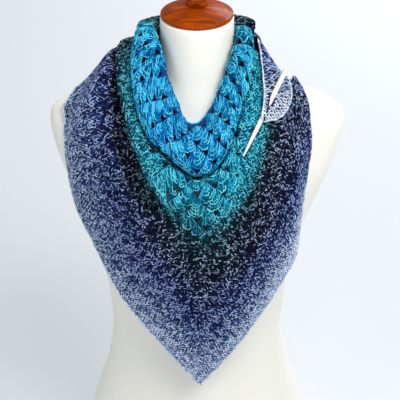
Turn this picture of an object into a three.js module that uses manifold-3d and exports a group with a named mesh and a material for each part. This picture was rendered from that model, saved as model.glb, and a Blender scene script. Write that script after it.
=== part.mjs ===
// A crocheted triangle shawl, worn point to the front like a cowl, on a limbless dress form.
// Millimetres, +Z up. The origin is the middle of the form's flat base, and the front faces -Y.
//
// The cloth is drawn in sections round the neck. A section starts at the neckline edge, passes over
// the roll, the teal fold and the pleat, and ends at the hem. Each fold line is a rail: a short
// table with one row for each place round the neck. `at` is the section's angle round the neck,
// 0 at the front, negative to the left of the picture and positive to the right of it. `turn`, where
// a rail has it, is the angle that the rail itself has reached there. `out` is the distance from the
// neck's axis, and `up` is the height.

import * as THREE from 'three';
import { mergeVertices } from 'three/addons/utils/BufferGeometryUtils.js';
import Module from 'manifold-3d';

const wasm = await Module();
wasm.setup();

const DEGREE = Math.PI / 180;

// Cloth: one layer of crochet, and the gap that parts two pieces of it
const WALL = 3;
const SEAM = 0.3;
// The least room between the cloth and the form, and how the cloth is moved out to keep it: the
// places tested in each cell of the grid, the step outward, and the most steps
const REST = 0.8;
const REST_TESTS = [0, 0.25, 0.5, 0.75, 1];
const REST_STEP = 0.4;
const REST_ROUNDS = 60;
// Degrees between two sections of the cloth, at the front and at the back
const FRONT_STEP = 6;
const BACK_STEP = 10;

// Dress form
const NECK_TOP = 778;
const TORSO_SIDES = 40;
const BUST = { side: 68, up: 458, rise: 17, wide: 42, high: 52 };

// Wooden neck cap
const CAP = { radius: 48, rim: 6, dome: 14, finial: 13.7, gap: 0.3 };

// Shell lace: the flat pitch of its gaps along a row and from row to row, one gap's size, and how far
// the lace goes, across from the front middle and down from the neckline together
const LACE = { along: 25, row: 20, wide: 10, high: 8, end: 240, depth: 3.4 };

// The stick that pins the end of the shawl
const PIN = { top: [116.5, -50.7, 727.4], point: [59.5, -119.7, 634.1], thick: 3, thin: 1, clear: 0.6 };

const FORM_ROWS = [
  { up: 0, half: 166, front: 103, back: 114, square: 2.3 },
  { up: 45, half: 171, front: 106, back: 122, square: 2.3 },
  { up: 90, half: 168, front: 106, back: 125, square: 2.3 },
  { up: 131, half: 160, front: 103, back: 120, square: 2.25 },
  { up: 174, half: 148, front: 98, back: 108, square: 2.2 },
  { up: 221, half: 134, front: 91, back: 92, square: 2.1 },
  { up: 281, half: 125, front: 86, back: 77, square: 2.05 },
  { up: 330, half: 127, front: 89, back: 78, square: 2.05 },
  { up: 380, half: 132, front: 96, back: 88, square: 2.1 },
  { up: 430, half: 142, front: 103, back: 97, square: 2.15 },
  { up: 475, half: 152, front: 107, back: 103, square: 2.2 },
  { up: 528, half: 172, front: 105, back: 106, square: 2.25 },
  { up: 568, half: 187, front: 99, back: 103, square: 2.25 },
  { up: 600, half: 196, front: 88, back: 98, square: 2.2 },
  { up: 628, half: 200, front: 78, back: 89, square: 2.15 },
  { up: 642, half: 197, front: 71, back: 83, square: 2.1 },
  { up: 651, half: 184, front: 66, back: 77, square: 2.1 },
  { up: 659, half: 158, front: 62, back: 72, square: 2.05 },
  { up: 667, half: 130, front: 59, back: 68, square: 2.05 },
  { up: 677, half: 98, front: 56, back: 63, square: 2 },
  { up: 688, half: 72, front: 53.5, back: 57, square: 2 },
  { up: 702, half: 57, front: 51.5, back: 52, square: 2 },
  { up: 728, half: 50.5, front: 50.5, back: 47.5, square: 2 },
  { up: NECK_TOP, half: 48.5, front: 50.5, back: 45.5, square: 2 },
];

// The roll that the neckline is turned into
const INNER_EDGE = [
  { at: -262, out: 64, up: 762 },
  { at: -240, out: 65, up: 752 },
  { at: -210, out: 65, up: 743 },
  { at: -180, out: 63, up: 741 },
  { at: -150, out: 62, up: 743 },
  { at: -120, out: 59, up: 749 },
  { at: -90, out: 53.5, up: 751 },
  { at: -60, out: 56, up: 748 },
  { at: -45, out: 60, up: 718 },
  { at: -30, out: 62, up: 693 },
  { at: -15, out: 67, up: 659 },
  { at: 0, out: 66.5, up: 655 },
  { at: 15, out: 63, up: 671 },
  { at: 30, out: 58, up: 696 },
  { at: 45, out: 56, up: 719 },
  { at: 60, out: 54.5, up: 742 },
  { at: 90, out: 52, up: 748 },
  { at: 120, out: 51.5, up: 738 },
  { at: 150, out: 52.5, up: 728 },
  { at: 225, out: 53.5, up: 722 },
];
const CREST = [
  { at: -262, out: 65, up: 766 },
  { at: -240, out: 68, up: 756 },
  { at: -210, out: 70, up: 749 },
  { at: -180, out: 67, up: 747 },
  { at: -150, out: 66, up: 750 },
  { at: -120, out: 63, up: 757 },
  { at: -105, out: 61, up: 763 },
  { at: -90, out: 60, up: 767 },
  { at: -75, out: 62, up: 770 },
  { at: -60, out: 63, up: 766 },
  { at: -45, out: 67, up: 750 },
  { at: -30, out: 72, up: 709 },
  { at: -20, out: 76, up: 689 },
  { at: -10, out: 82, up: 661 },
  { at: 0, out: 87, up: 652 },
  { at: 10, out: 82, up: 666 },
  { at: 20, out: 74, up: 690 },
  { at: 30, out: 68, up: 712 },
  { at: 45, out: 63, up: 738 },
  { at: 60, out: 60, up: 756 },
  { at: 75, out: 57.5, up: 767 },
  { at: 90, out: 56, up: 763 },
  { at: 120, out: 56, up: 748 },
  { at: 150, out: 55.5, up: 738 },
  { at: 180, out: 56.5, up: 734 },
  { at: 225, out: 57.5, up: 730 },
];
const LIP = [
  { at: -262, out: 76, up: 753 },
  { at: -240, out: 80, up: 747 },
  { at: -210, out: 86, up: 736 },
  { at: -180, out: 86, up: 733 },
  { at: -150, out: 86, up: 735 },
  { at: -120, out: 84, up: 742 },
  { at: -105, out: 81, up: 749 },
  { at: -90, out: 79, up: 754 },
  { at: -75, out: 84, up: 752 },
  { at: -60, out: 98, up: 735 },
  { at: -50, out: 107, up: 705 },
  { at: -35, out: 116, up: 661 },
  { at: -20, out: 119, up: 640 },
  { at: -7, out: 126, up: 625 },
  { at: 0, out: 130, up: 620 },
  { at: 10, out: 128, up: 626 },
  { at: 22, out: 116, up: 652 },
  { at: 33, out: 101, up: 686 },
  { at: 42, out: 97, up: 710 },
  { at: 55, out: 88, up: 737 },
  { at: 67, out: 79, up: 751 },
  { at: 78, out: 72, up: 751 },
  { at: 90, out: 69, up: 745 },
  { at: 120, out: 68, up: 737 },
  { at: 150, out: 67, up: 722 },
  { at: 180, out: 66, up: 718 },
  { at: 225, out: 65, up: 722 },
];

// The second fold, which lies round the roll and overhangs the dark cloth on the left
const TEAL_LIP = [
  { at: -262, out: 86, up: 733 },
  { at: -240, out: 90, up: 732 },
  { at: -210, out: 98, up: 710 },
  { at: -180, out: 101, up: 705 },
  { at: -150, out: 103, up: 706 },
  { at: -120, out: 103, up: 721 },
  { at: -105, out: 103, up: 730 },
  { at: -90, out: 103, up: 736 },
  { at: -78, out: 107, up: 737 },
  { at: -65, out: 115, up: 715 },
  { at: -53, out: 123, up: 693 },
  { at: -45, out: 129, up: 670 },
  { at: -37, out: 136, up: 643 },
  { at: -30, out: 141, up: 622 },
  { at: -24, out: 146, up: 603 },
  { at: -16, out: 149, up: 584 },
  { at: 0, out: 148, up: 588 },
  { at: 10, out: 147, up: 594 },
  { at: 20, out: 143, up: 606 },
  { at: 30, out: 137, up: 628 },
  { at: 45, out: 124, up: 668 },
  { at: 60, out: 108, up: 712 },
  { at: 75, out: 91, up: 728 },
  { at: 90, out: 83, up: 716 },
  { at: 120, out: 83, up: 710 },
  { at: 150, out: 80, up: 698 },
  { at: 180, out: 78, up: 692 },
  { at: 225, out: 74, up: 708 },
];

// The pleat on the left and the smooth cloth on the right
const RIDGE = [
  { at: -262, out: 94, up: 716 },
  { at: -240, out: 98, up: 715 },
  { at: -210, out: 106, up: 688 },
  { at: -180, out: 110, up: 678 },
  { at: -150, out: 112, up: 680 },
  { at: -120, out: 118, up: 706 },
  { at: -90, out: 119, up: 718 },
  { at: -71, out: 124, up: 716 },
  { at: -56, out: 141, up: 651 },
  { at: -45, out: 149, up: 617 },
  { at: -39, out: 151, up: 586 },
  { at: -30, out: 150, up: 566 },
  { at: -15, out: 146, up: 549 },
  { at: 0, out: 144, up: 543 },
  { at: 15, out: 145, up: 549 },
  { at: 30, out: 145, up: 576 },
  { at: 45, out: 142, up: 626 },
  { at: 60, out: 131, up: 680 },
  { at: 75, out: 111, up: 700 },
  { at: 90, out: 100, up: 690 },
  { at: 120, out: 100, up: 687 },
  { at: 150, out: 92, up: 672 },
  { at: 180, out: 88, up: 668 },
  { at: 225, out: 82, up: 698 },
];

// How far the cloth goes in under each overhang, from 0 to 1 of the full tuck
const TUCKS = [
  { at: -262, roll: 0.15, teal: 0.1, pleat: 0 },
  { at: -180, roll: 0.35, teal: 0.3, pleat: 0.3 },
  { at: -90, roll: 0.35, teal: 0.6, pleat: 0.5 },
  { at: -60, roll: 0.7, teal: 1, pleat: 1 },
  { at: -30, roll: 1, teal: 1, pleat: 1 },
  { at: -12, roll: 1.05, teal: 0.35, pleat: 0.3 },
  { at: 0, roll: 1.05, teal: 0.15, pleat: 0 },
  { at: 30, roll: 1, teal: 0, pleat: 0 },
  { at: 60, roll: 0.6, teal: 0, pleat: 0 },
  { at: 90, roll: 0.3, teal: 0, pleat: 0 },
  { at: 225, roll: 0.2, teal: 0, pleat: 0 },
];
// Places in the full tucks, each measured in and down from the lip or ridge above it
const UNDER_ROLL = { in: 8, down: 12 };
const ROLL_VALLEY = { in: 24, down: 21 };
const TEAL_ROOT = { in: 15, down: 27 };
const TEAL_CREST = { in: 3, down: 19 };
const ROLL_SWELL = { in: -6, down: -5 };
const SHALLOW_CREST = { in: -8, down: 11 };
const UNDER_TEAL = { in: 9, down: 13 };
const PLEAT_VALLEY = { in: 14, down: 10 };

// The panel, from the pleat to the hem
const CHEST = [
  { at: -262, turn: -262, out: 98, up: 707 },
  { at: -240, turn: -240, out: 104, up: 701 },
  { at: -210, turn: -210, out: 112, up: 668 },
  { at: -180, turn: -180, out: 116, up: 650 },
  { at: -150, turn: -150, out: 121, up: 648 },
  { at: -120, turn: -120, out: 136, up: 684 },
  { at: -90, turn: -90, out: 138, up: 693 },
  { at: -80, turn: -80, out: 142, up: 695 },
  { at: -69, turn: -69, out: 154, up: 684 },
  { at: -57, turn: -57, out: 161, up: 600 },
  { at: -45, turn: -45, out: 155, up: 550 },
  { at: -30, turn: -30, out: 150, up: 500 },
  { at: -15, turn: -15, out: 143, up: 470 },
  { at: 0, turn: 0, out: 139, up: 460 },
  { at: 15, turn: 15, out: 141, up: 466 },
  { at: 30, turn: 30, out: 147, up: 498 },
  { at: 45, turn: 45, out: 152, up: 548 },
  { at: 58, turn: 57, out: 157, up: 612 },
  { at: 66, turn: 66, out: 150, up: 660 },
  { at: 75, turn: 75, out: 131, up: 691 },
  { at: 90, turn: 90, out: 122, up: 680 },
  { at: 120, turn: 120, out: 118, up: 665 },
  { at: 150, turn: 150, out: 103, up: 645 },
  { at: 180, turn: 180, out: 98, up: 645 },
  { at: 225, turn: 225, out: 90, up: 688 },
];
const BODICE = [
  { at: -262, turn: -262, out: 102, up: 700 },
  { at: -240, turn: -240, out: 108, up: 690 },
  { at: -210, turn: -210, out: 117, up: 645 },
  { at: -180, turn: -180, out: 120, up: 622 },
  { at: -150, turn: -150, out: 127, up: 610 },
  { at: -120, turn: -120, out: 151, up: 648 },
  { at: -105, turn: -105, out: 153, up: 669 },
  { at: -90, turn: -90, out: 155, up: 671 },
  { at: -80, turn: -80, out: 163, up: 671 },
  { at: -75, turn: -75, out: 173, up: 655 },
  { at: -69, turn: -69, out: 177, up: 615 },
  { at: -57, turn: -57, out: 166, up: 540 },
  { at: -45, turn: -45, out: 156, up: 482 },
  { at: -30, turn: -30, out: 146, up: 432 },
  { at: -15, turn: -15, out: 137, up: 390 },
  { at: 0, turn: 1, out: 131, up: 362 },
  { at: 15, turn: 15, out: 134, up: 386 },
  { at: 30, turn: 30, out: 141, up: 425 },
  { at: 45, turn: 45, out: 152, up: 478 },
  { at: 58, turn: 57.5, out: 161, up: 545 },
  { at: 66, turn: 62, out: 163, up: 610 },
  { at: 75, turn: 71, out: 150, up: 668 },
  { at: 90, turn: 90, out: 135, up: 674 },
  { at: 120, turn: 120, out: 137, up: 645 },
  { at: 150, turn: 150, out: 112, up: 610 },
  { at: 180, turn: 180, out: 105, up: 615 },
  { at: 225, turn: 225, out: 98, up: 680 },
];
const HEM = [
  { at: -262, turn: -262, out: 106, up: 694 },
  { at: -240, turn: -240, out: 111, up: 681 },
  { at: -210, turn: -210, out: 120, up: 625 },
  { at: -180, turn: -180, out: 122, up: 592 },
  { at: -150, turn: -150, out: 131, up: 572 },
  { at: -120, turn: -120, out: 160, up: 585 },
  { at: -112, turn: -112, out: 168, up: 630 },
  { at: -105, turn: -105, out: 167, up: 653 },
  { at: -90, turn: -90, out: 172, up: 659 },
  { at: -80, turn: -80, out: 180, up: 652 },
  { at: -75, turn: -75, out: 182, up: 600 },
  { at: -69, turn: -69, out: 179, up: 534 },
  { at: -57.7, turn: -57.7, out: 167, up: 480 },
  { at: -44, turn: -44, out: 156, up: 416 },
  { at: -25, turn: -25, out: 142, up: 352 },
  { at: 0, turn: 1.8, out: 125, up: 262, point: true },
  { at: 33, turn: 33, out: 138, up: 357 },
  { at: 52, turn: 52.5, out: 158, up: 438 },
  { at: 58, turn: 59, out: 161, up: 466 },
  { at: 62, turn: 60, out: 164, up: 530 },
  { at: 66, turn: 61, out: 167, up: 575 },
  { at: 72, turn: 65, out: 167, up: 625 },
  { at: 78, turn: 71, out: 158, up: 655 },
  { at: 90, turn: 88, out: 145, up: 668 },
  { at: 105, turn: 105, out: 141, up: 664 },
  { at: 120, turn: 120, out: 157, up: 595 },
  { at: 150, turn: 150, out: 121, up: 572 },
  { at: 180, turn: 180, out: 111, up: 588 },
  { at: 225, turn: 225, out: 106, up: 672 },
];

// The stretches of a section between its fold lines, with the number of steps in each
const STEPS = { inner: 1, top: 2, face: 2, under: 1, tuck: 2, root: 1, rise: 1, teal: 2, drop: 1, dark: 2,
  pleat: 2, chest: 3, bodice: 3, tail: 3 };

// The pinned end: its light inner edge and its outer edge, from the shoulder down to its tip
const PINNED_END = [
  { inner: [80.2, 10.7, 742], outer: [104.5, 14.1, 694], swell: 2 },
  { inner: [82, -15, 741], outer: [104, -4, 707], swell: 3 },
  { inner: [84, -48, 735], outer: [111, -20, 706], swell: 4.5 },
  { inner: [86, -64, 718], outer: [120, -32, 703], swell: 4 },
  { inner: [87, -77, 703], outer: [124, -45, 692], swell: 5 },
  { inner: [86, -86, 691], outer: [122, -61, 683], swell: 4 },
  { inner: [84, -92, 682], outer: [114.5, -76, 675], swell: 3 },
  { inner: [86, -94, 671], outer: [105, -85, 670], swell: 2.5 },
];

/** The slope of column `key` at row `k`, from its neighbours; none of them is looked at past a point. */
function slope(rows, k, key, side) {
  const low = side > 0 && rows[k].point ? k : Math.max(k - 1, 0);
  const high = side < 0 && rows[k].point ? k : Math.min(k + 1, rows.length - 1);
  return (rows[high][key] - rows[low][key]) / (rows[high].at - rows[low].at);
}

/** Reads column `key` of a table at `at`, on a smooth curve through its rows. */
function read(rows, key, at) {
  let k = rows.findIndex((row) => row.at > at) - 1;
  if (k < 0) k = at <= rows[0].at ? 0 : rows.length - 2;
  const [a, b] = [rows[k], rows[k + 1]];
  const span = b.at - a.at;
  const t = THREE.MathUtils.clamp((at - a.at) / span, 0, 1);
  const from = slope(rows, k, key, 1) * span;
  const to = slope(rows, k + 1, key, -1) * span;
  const [t2, t3] = [t * t, t * t * t];
  return (2 * t3 - 3 * t2 + 1) * a[key] + (t3 - 2 * t2 + t) * from
    + (3 * t2 - 2 * t3) * b[key] + (t3 - t2) * to;
}

/** A point at angle `turn` round the neck, `out` from its axis and `up` from the base. */
function around(turn, out, up) {
  return new THREE.Vector3(out * Math.sin(turn * DEGREE), -out * Math.cos(turn * DEGREE), up);
}

/** The point where rail `rows` crosses the section at `at`. */
function railPoint(rows, at) {
  const turn = 'turn' in rows[0] ? read(rows, 'turn', at) : at;
  return around(turn, read(rows, 'out', at), read(rows, 'up', at));
}

/** The fold lines' points on the section at `at`, from the neckline to the hem. */
function sectionRails(at) {
  const shift = (p, place, across, drop) => {
    const reach = Math.hypot(p.x, p.y);
    const keep = (reach - place.in * across) / reach;
    return new THREE.Vector3(p.x * keep, p.y * keep, p.z - place.down * drop);
  };
  const [roll, teal, pleat] = ['roll', 'teal', 'pleat'].map((key) => read(TUCKS, key, at));
  const drop = Math.sqrt(roll);
  const crest = railPoint(CREST, at);
  const lip = railPoint(LIP, at);
  const tealLip = railPoint(TEAL_LIP, at);
  const ridge = railPoint(RIDGE, at);
  const face = shift(crest.clone().lerp(lip, 0.5), ROLL_SWELL, 1, 1);
  const tealCrest = shift(lip, SHALLOW_CREST, 1, 1).lerp(shift(lip, TEAL_CREST, 1, 1), roll);
  const tealUnder = tealLip.clone().lerp(ridge, 0.3).lerp(shift(tealLip, UNDER_TEAL, 1, 1), teal);
  const darkValley = tealLip.clone().lerp(ridge, 0.65).lerp(shift(ridge, PLEAT_VALLEY, 1, 1), pleat);
  return [railPoint(INNER_EDGE, at), crest, face, lip, shift(lip, UNDER_ROLL, roll, drop),
    shift(lip, ROLL_VALLEY, roll, drop), shift(lip, TEAL_ROOT, roll, drop), tealCrest, tealLip,
    tealUnder, darkValley, ridge, railPoint(CHEST, at), railPoint(BODICE, at), railPoint(HEM, at)];
}

const RAIL_STEPS = [STEPS.inner, STEPS.top, STEPS.face, STEPS.under, STEPS.tuck, STEPS.root, STEPS.rise,
  STEPS.teal, STEPS.drop, STEPS.dark, STEPS.pleat, STEPS.chest, STEPS.bodice, STEPS.tail];
// Where a section is parted into stretches, as rail numbers: both seams are out of sight in a tuck
const PARTS = { neckline: 0, rollSeam: 4.5, darkSeam: 9.5, hem: 14 };

/** One section as a curve: `at(k)` gives the point at rail number k, which may lie between two rails. */
function sectionCurve(at) {
  const rails = sectionRails(at);
  const last = rails.length - 1;
  const curve = new THREE.CatmullRomCurve3(rails, false, 'centripetal');
  return (k) => curve.getPoint(THREE.MathUtils.clamp(k, 0, last) / last);
}

/** The stations along a section from rail `from` to rail `to`, as rail numbers with parts of one. */
function stations(from, to) {
  const all = RAIL_STEPS.flatMap((steps, k) => Array.from({ length: steps }, (_, step) => k + step / steps));
  return [from, ...all.filter((k) => k > from && k < to), to];
}

/** Moves the first and last point of a line of points inward by `trim`, for the gap at a seam. */
function trimEnds(points, trim) {
  const last = points.length - 1;
  if (trim.first) points[0].add(points[1].clone().sub(points[0]).setLength(trim.first));
  if (trim.last) points[last].add(points[last - 1].clone().sub(points[last]).setLength(trim.last));
  return points;
}

/** The form's half width and depths at height `up`, between the rows of its table. */
function formRing(up) {
  const k = THREE.MathUtils.clamp(FORM_ROWS.findIndex((row) => row.up >= up), 1, FORM_ROWS.length - 1);
  const [low, high] = [FORM_ROWS[k - 1], FORM_ROWS[k]];
  const t = (up - low.up) / (high.up - low.up);
  const mix = (key) => low[key] + (high[key] - low[key]) * t;
  return { half: mix('half'), front: mix('front'), back: mix('back'), square: mix('square') };
}

/** How far the two mounds at the bust stand forward at this side and height. */
function bustRise(x, up) {
  const mound = (side) => Math.exp(-(((x - side * BUST.side) / BUST.wide) ** 2)
    - ((up - BUST.up) / BUST.high) ** 2);
  return BUST.rise * (mound(-1) + mound(1));
}

/** Says whether a point is inside the form. */
function insideForm({ x, y, z }) {
  if (z > NECK_TOP) return false;
  const ring = formRing(z);
  const depth = y < 0 ? ring.front + bustRise(x, z) : ring.back;
  return (Math.abs(x) / ring.half) ** ring.square + (Math.abs(y) / depth) ** ring.square < 1;
}

/** Moves the cloth out, cell by cell, until its inner face is clear of the form. */
function restOnForm(points, normals) {
  const reach = WALL / 2 + REST;
  const blend = (list, i, j, s, t) => new THREE.Vector3()
    .addScaledVector(list[i][j], (1 - s) * (1 - t)).addScaledVector(list[i + 1][j], s * (1 - t))
    .addScaledVector(list[i + 1][j + 1], s * t).addScaledVector(list[i][j + 1], (1 - s) * t);
  for (let round = 0, moved = true; moved && round < REST_ROUNDS; round += 1) {
    moved = false;
    for (let i = 0; i < points.length - 1; i += 1) {
      for (let j = 0; j < points[0].length - 1; j += 1) {
        const hit = REST_TESTS.some((s) => REST_TESTS.some((t) => insideForm(blend(points, i, j, s, t)
          .addScaledVector(blend(normals, i, j, s, t).normalize(), -reach))));
        if (!hit) continue;
        moved = true;
        [[i, j], [i + 1, j], [i, j + 1], [i + 1, j + 1]].forEach(([a, b]) => {
          points[a][b].addScaledVector(normals[a][b], REST_STEP);
        });
      }
    }
  }
}

/** The outward direction at place `k` of the section at `at`. */
function outward(at, k) {
  const [section, before, after] = [at, at - 2, at + 2].map(sectionCurve);
  return section(k + 0.2).sub(section(k - 0.2)).cross(after(k).sub(before(k))).normalize();
}

/**
 * The middle surface of one stretch of cloth: a row of points for each section, with the outward
 * direction at each point. `side` is the gap that it keeps to the stretch before its first section.
 */
function clothGrid({ from, to, step, start, end, trim = {}, side = 0 }) {
  const count = Math.round(Math.abs(end - start) / step);
  const places = stations(from, to);
  const points = [];
  const normals = [];
  for (let i = 0; i <= count; i += 1) {
    const at = start + ((end - start) * i) / count;
    const row = places.map(sectionCurve(at));
    normals.push(places.map((k) => outward(at, k)));
    if (i === 0 && side) {
      const next = places.map(sectionCurve(at + Math.sign(end - start)));
      row.forEach((point, j) => point.add(next[j].sub(point).setLength(side)));
    }
    points.push(trimEnds(row, trim));
  }
  restOnForm(points, normals);
  return start < end ? { points, normals } : { points: points.reverse(), normals: normals.reverse() };
}

/** The outward direction at each point of a grid, from its neighbours. */
function gridNormals(points) {
  const [rows, columns] = [points.length, points[0].length];
  return points.map((row, i) => row.map((_, j) => {
    const along = points[Math.min(i + 1, rows - 1)][j].clone().sub(points[Math.max(i - 1, 0)][j]);
    const across = row[Math.min(j + 1, columns - 1)].clone().sub(row[Math.max(j - 1, 0)]);
    return across.cross(along).normalize();
  }));
}

/** A closed wall of cloth, half its thickness to each side of the grid's points. */
function wallGeometry({ points, normals }, thickness = WALL) {
  const [rows, columns] = [points.length, points[0].length];
  const positions = [];
  for (const side of [1, -1]) {
    points.forEach((row, i) => row.forEach((point, j) => {
      positions.push(...point.clone().addScaledVector(normals[i][j], (side * thickness) / 2));
    }));
  }
  const outer = (i, j) => i * columns + j;
  const inner = (i, j) => rows * columns + outer(i, j);
  const faces = [];
  const quad = (a, b, c, d) => faces.push(a, b, c, a, c, d);
  for (let i = 0; i < rows - 1; i += 1) {
    for (let j = 0; j < columns - 1; j += 1) {
      quad(outer(i, j), outer(i, j + 1), outer(i + 1, j + 1), outer(i + 1, j));
      quad(inner(i, j), inner(i + 1, j), inner(i + 1, j + 1), inner(i, j + 1));
    }
    quad(outer(i, 0), outer(i + 1, 0), inner(i + 1, 0), inner(i, 0));
    quad(outer(i, columns - 1), inner(i, columns - 1), inner(i + 1, columns - 1), outer(i + 1, columns - 1));
  }
  for (let j = 0; j < columns - 1; j += 1) {
    quad(outer(0, j), inner(0, j), inner(0, j + 1), outer(0, j + 1));
    quad(outer(rows - 1, j), outer(rows - 1, j + 1), inner(rows - 1, j + 1), inner(rows - 1, j));
  }
  const geometry = new THREE.BufferGeometry();
  geometry.setAttribute('position', new THREE.Float32BufferAttribute(positions, 3));
  geometry.setIndex(faces);
  return geometry;
}

/** Turns a closed geometry into a solid that can be cut. */
function solid(geometry) {
  const bare = geometry.clone();
  bare.deleteAttribute('normal');
  bare.deleteAttribute('uv');
  const merged = mergeVertices(bare, 1e-4);
  return new wasm.Manifold(new wasm.Mesh({
    numProp: 3,
    vertProperties: new Float32Array(merged.attributes.position.array),
    triVerts: new Uint32Array(merged.index.array),
  }));
}

/** Cuts every geometry in `cutters` out of `geometry`. */
function cut(geometry, cutters) {
  let body = solid(geometry);
  cutters.forEach((cutter) => { body = body.subtract(solid(cutter)); });
  const mesh = body.getMesh();
  const result = new THREE.BufferGeometry();
  result.setAttribute('position', new THREE.Float32BufferAttribute(mesh.vertProperties, 3));
  result.setIndex(new THREE.Uint32BufferAttribute(mesh.triVerts, 1));
  return result;
}

/** The distance along the cloth of each grid point: across from the front middle, and from the neckline. */
function clothLengths({ points }, middleRow, start) {
  const across = points.map((row) => row.map(() => 0));
  for (let j = 0; j < points[0].length; j += 1) {
    for (let i = middleRow + 1; i < points.length; i += 1) {
      across[i][j] = across[i - 1][j] + points[i][j].distanceTo(points[i - 1][j]);
    }
    for (let i = middleRow - 1; i >= 0; i -= 1) {
      across[i][j] = across[i + 1][j] - points[i][j].distanceTo(points[i + 1][j]);
    }
  }
  const down = points.map((row, i) => {
    let run = start[i];
    return row.map((point, j) => {
      if (j > 0) run += point.distanceTo(row[j - 1]);
      return run;
    });
  });
  return { across, down };
}

/** The gaps of the shell lace in one stretch, a cell or more inside its edges: three-sided prisms. */
function laceCutters({ points, normals }, lengths) {
  const cutters = [];
  const inLace = (i, j) => Math.abs(lengths.across[i][j]) + lengths.down[i][j] < LACE.end;
  for (let i = 1; i < points.length - 2; i += 1) {
    for (let j = 1; j < points[0].length - 2; j += 1) {
      if (!inLace(i, j)) continue;
      const corners = [[i, j], [i + 1, j], [i + 1, j + 1], [i, j + 1]];
      const down = corners.map(([a, b]) => lengths.down[a][b]);
      const across = corners.map(([a, b]) => lengths.across[a][b]);
      for (let row = Math.ceil(Math.min(...down) / LACE.row); row * LACE.row <= Math.max(...down); row += 1) {
        const stagger = (row % 2) * 0.5;
        const last = Math.max(...across);
        let k = Math.ceil(Math.min(...across) / LACE.along - stagger);
        for (; row > 0 && (k + stagger) * LACE.along <= last; k += 1) {
          const place = placeInCell(down, across, row * LACE.row, (k + stagger) * LACE.along);
          if (place) cutters.push(laceGap(points, normals, i, j, place));
        }
      }
    }
  }
  return cutters;
}

/** The place (s, t), each from 0 to 1, where a cell's corner values reach both wanted values. */
function placeInCell(d, e, wantedD, wantedE) {
  let [s, t] = [0.5, 0.5];
  const mix = (v) => (1 - s) * (1 - t) * v[0] + s * (1 - t) * v[1] + s * t * v[2] + (1 - s) * t * v[3];
  const bySide = (v) => (1 - t) * (v[1] - v[0]) + t * (v[2] - v[3]);
  const byDown = (v) => (1 - s) * (v[3] - v[0]) + s * (v[2] - v[1]);
  for (let round = 0; round < 6; round += 1) {
    const [missD, missE] = [wantedD - mix(d), wantedE - mix(e)];
    const [ds, dt, es, et] = [bySide(d), byDown(d), bySide(e), byDown(e)];
    const area = ds * et - dt * es;
    if (Math.abs(area) < 1e-6) return null;
    s += (missD * et - missE * dt) / area;
    t += (ds * missE - es * missD) / area;
  }
  return s >= 0 && s < 1 && t >= 0 && t < 1 ? { s, t } : null;
}

/** One lace gap: a prism whose wide side lies toward the neckline. */
function laceGap(points, normals, i, j, { s, t }) {
  const mix = (list) => new THREE.Vector3()
    .addScaledVector(list[i][j], (1 - s) * (1 - t)).addScaledVector(list[i + 1][j], s * (1 - t))
    .addScaledVector(list[i + 1][j + 1], s * t).addScaledVector(list[i][j + 1], (1 - s) * t);
  const centre = mix(points);
  const normal = mix(normals).normalize();
  const down = points[i][j + 1].clone().sub(points[i][j]);
  down.addScaledVector(normal, -down.dot(normal)).normalize();
  const along = down.clone().cross(normal).normalize();
  const corners = [[-LACE.wide / 2, -LACE.high / 2], [LACE.wide / 2, -LACE.high / 2], [0, LACE.high / 2]];
  const positions = [];
  for (const level of [-LACE.depth, LACE.depth]) {
    for (const [x, y] of corners) {
      positions.push(...centre.clone().addScaledVector(along, x).addScaledVector(down, y)
        .addScaledVector(normal, level));
    }
  }
  const geometry = new THREE.BufferGeometry();
  geometry.setAttribute('position', new THREE.Float32BufferAttribute(positions, 3));
  geometry.setIndex([0, 2, 1, 3, 4, 5, 0, 1, 4, 0, 4, 3, 1, 2, 5, 1, 5, 4, 2, 0, 3, 2, 3, 5]);
  return geometry;
}

/** The form's body: rings with rounded corners, two soft mounds at the bust, and flat ends. */
function torsoGeometry() {
  const positions = [];
  const power = (value, square) => Math.sign(value) * Math.abs(value) ** (2 / square);
  FORM_ROWS.forEach((row) => {
    for (let k = 0; k < TORSO_SIDES; k += 1) {
      const angle = (k / TORSO_SIDES) * 2 * Math.PI;
      const x = row.half * power(Math.sin(angle), row.square);
      const depth = Math.cos(angle) > 0 ? row.front + bustRise(x, row.up) : row.back;
      positions.push(x, -depth * power(Math.cos(angle), row.square), row.up);
    }
  });
  const faces = [];
  const top = (FORM_ROWS.length - 1) * TORSO_SIDES;
  for (let ring = 0; ring < top; ring += TORSO_SIDES) {
    for (let k = 0; k < TORSO_SIDES; k += 1) {
      const [a, b] = [ring + k, ring + ((k + 1) % TORSO_SIDES)];
      faces.push(a, b, b + TORSO_SIDES, a, b + TORSO_SIDES, a + TORSO_SIDES);
    }
  }
  for (let k = 1; k < TORSO_SIDES - 1; k += 1) {
    faces.push(0, k + 1, k);
    faces.push(top, top + k, top + k + 1);
  }
  const geometry = new THREE.BufferGeometry();
  geometry.setAttribute('position', new THREE.Float32BufferAttribute(positions, 3));
  geometry.setIndex(faces);
  return geometry;
}

/** A turned solid from rows of { r, up }, standing on `base`. */
function turned(rows, base, sides) {
  const profile = rows.map(({ r, up }) => new THREE.Vector2(r, up));
  const geometry = new THREE.LatheGeometry(profile, sides);
  geometry.rotateX(Math.PI / 2);
  geometry.translate(0, 0, base);
  return geometry;
}

/** The domed disc on the neck. */
function capGeometry() {
  const { radius, rim, dome, finial } = CAP;
  return turned([
    { r: 0, up: 0 },
    { r: radius - 2.5, up: 0 },
    { r: radius - 0.7, up: 0.9 },
    { r: radius, up: rim / 2 },
    { r: radius - 0.7, up: rim - 0.9 },
    { r: radius - 3, up: rim },
    { r: radius * 0.72, up: rim + dome * 0.36 },
    { r: finial + 10, up: rim + dome * 0.62 },
    { r: finial + 1, up: rim + dome * 0.7 },
    { r: 0, up: rim + dome * 0.7 },
  ], NECK_TOP + CAP.gap, 32);
}

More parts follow.
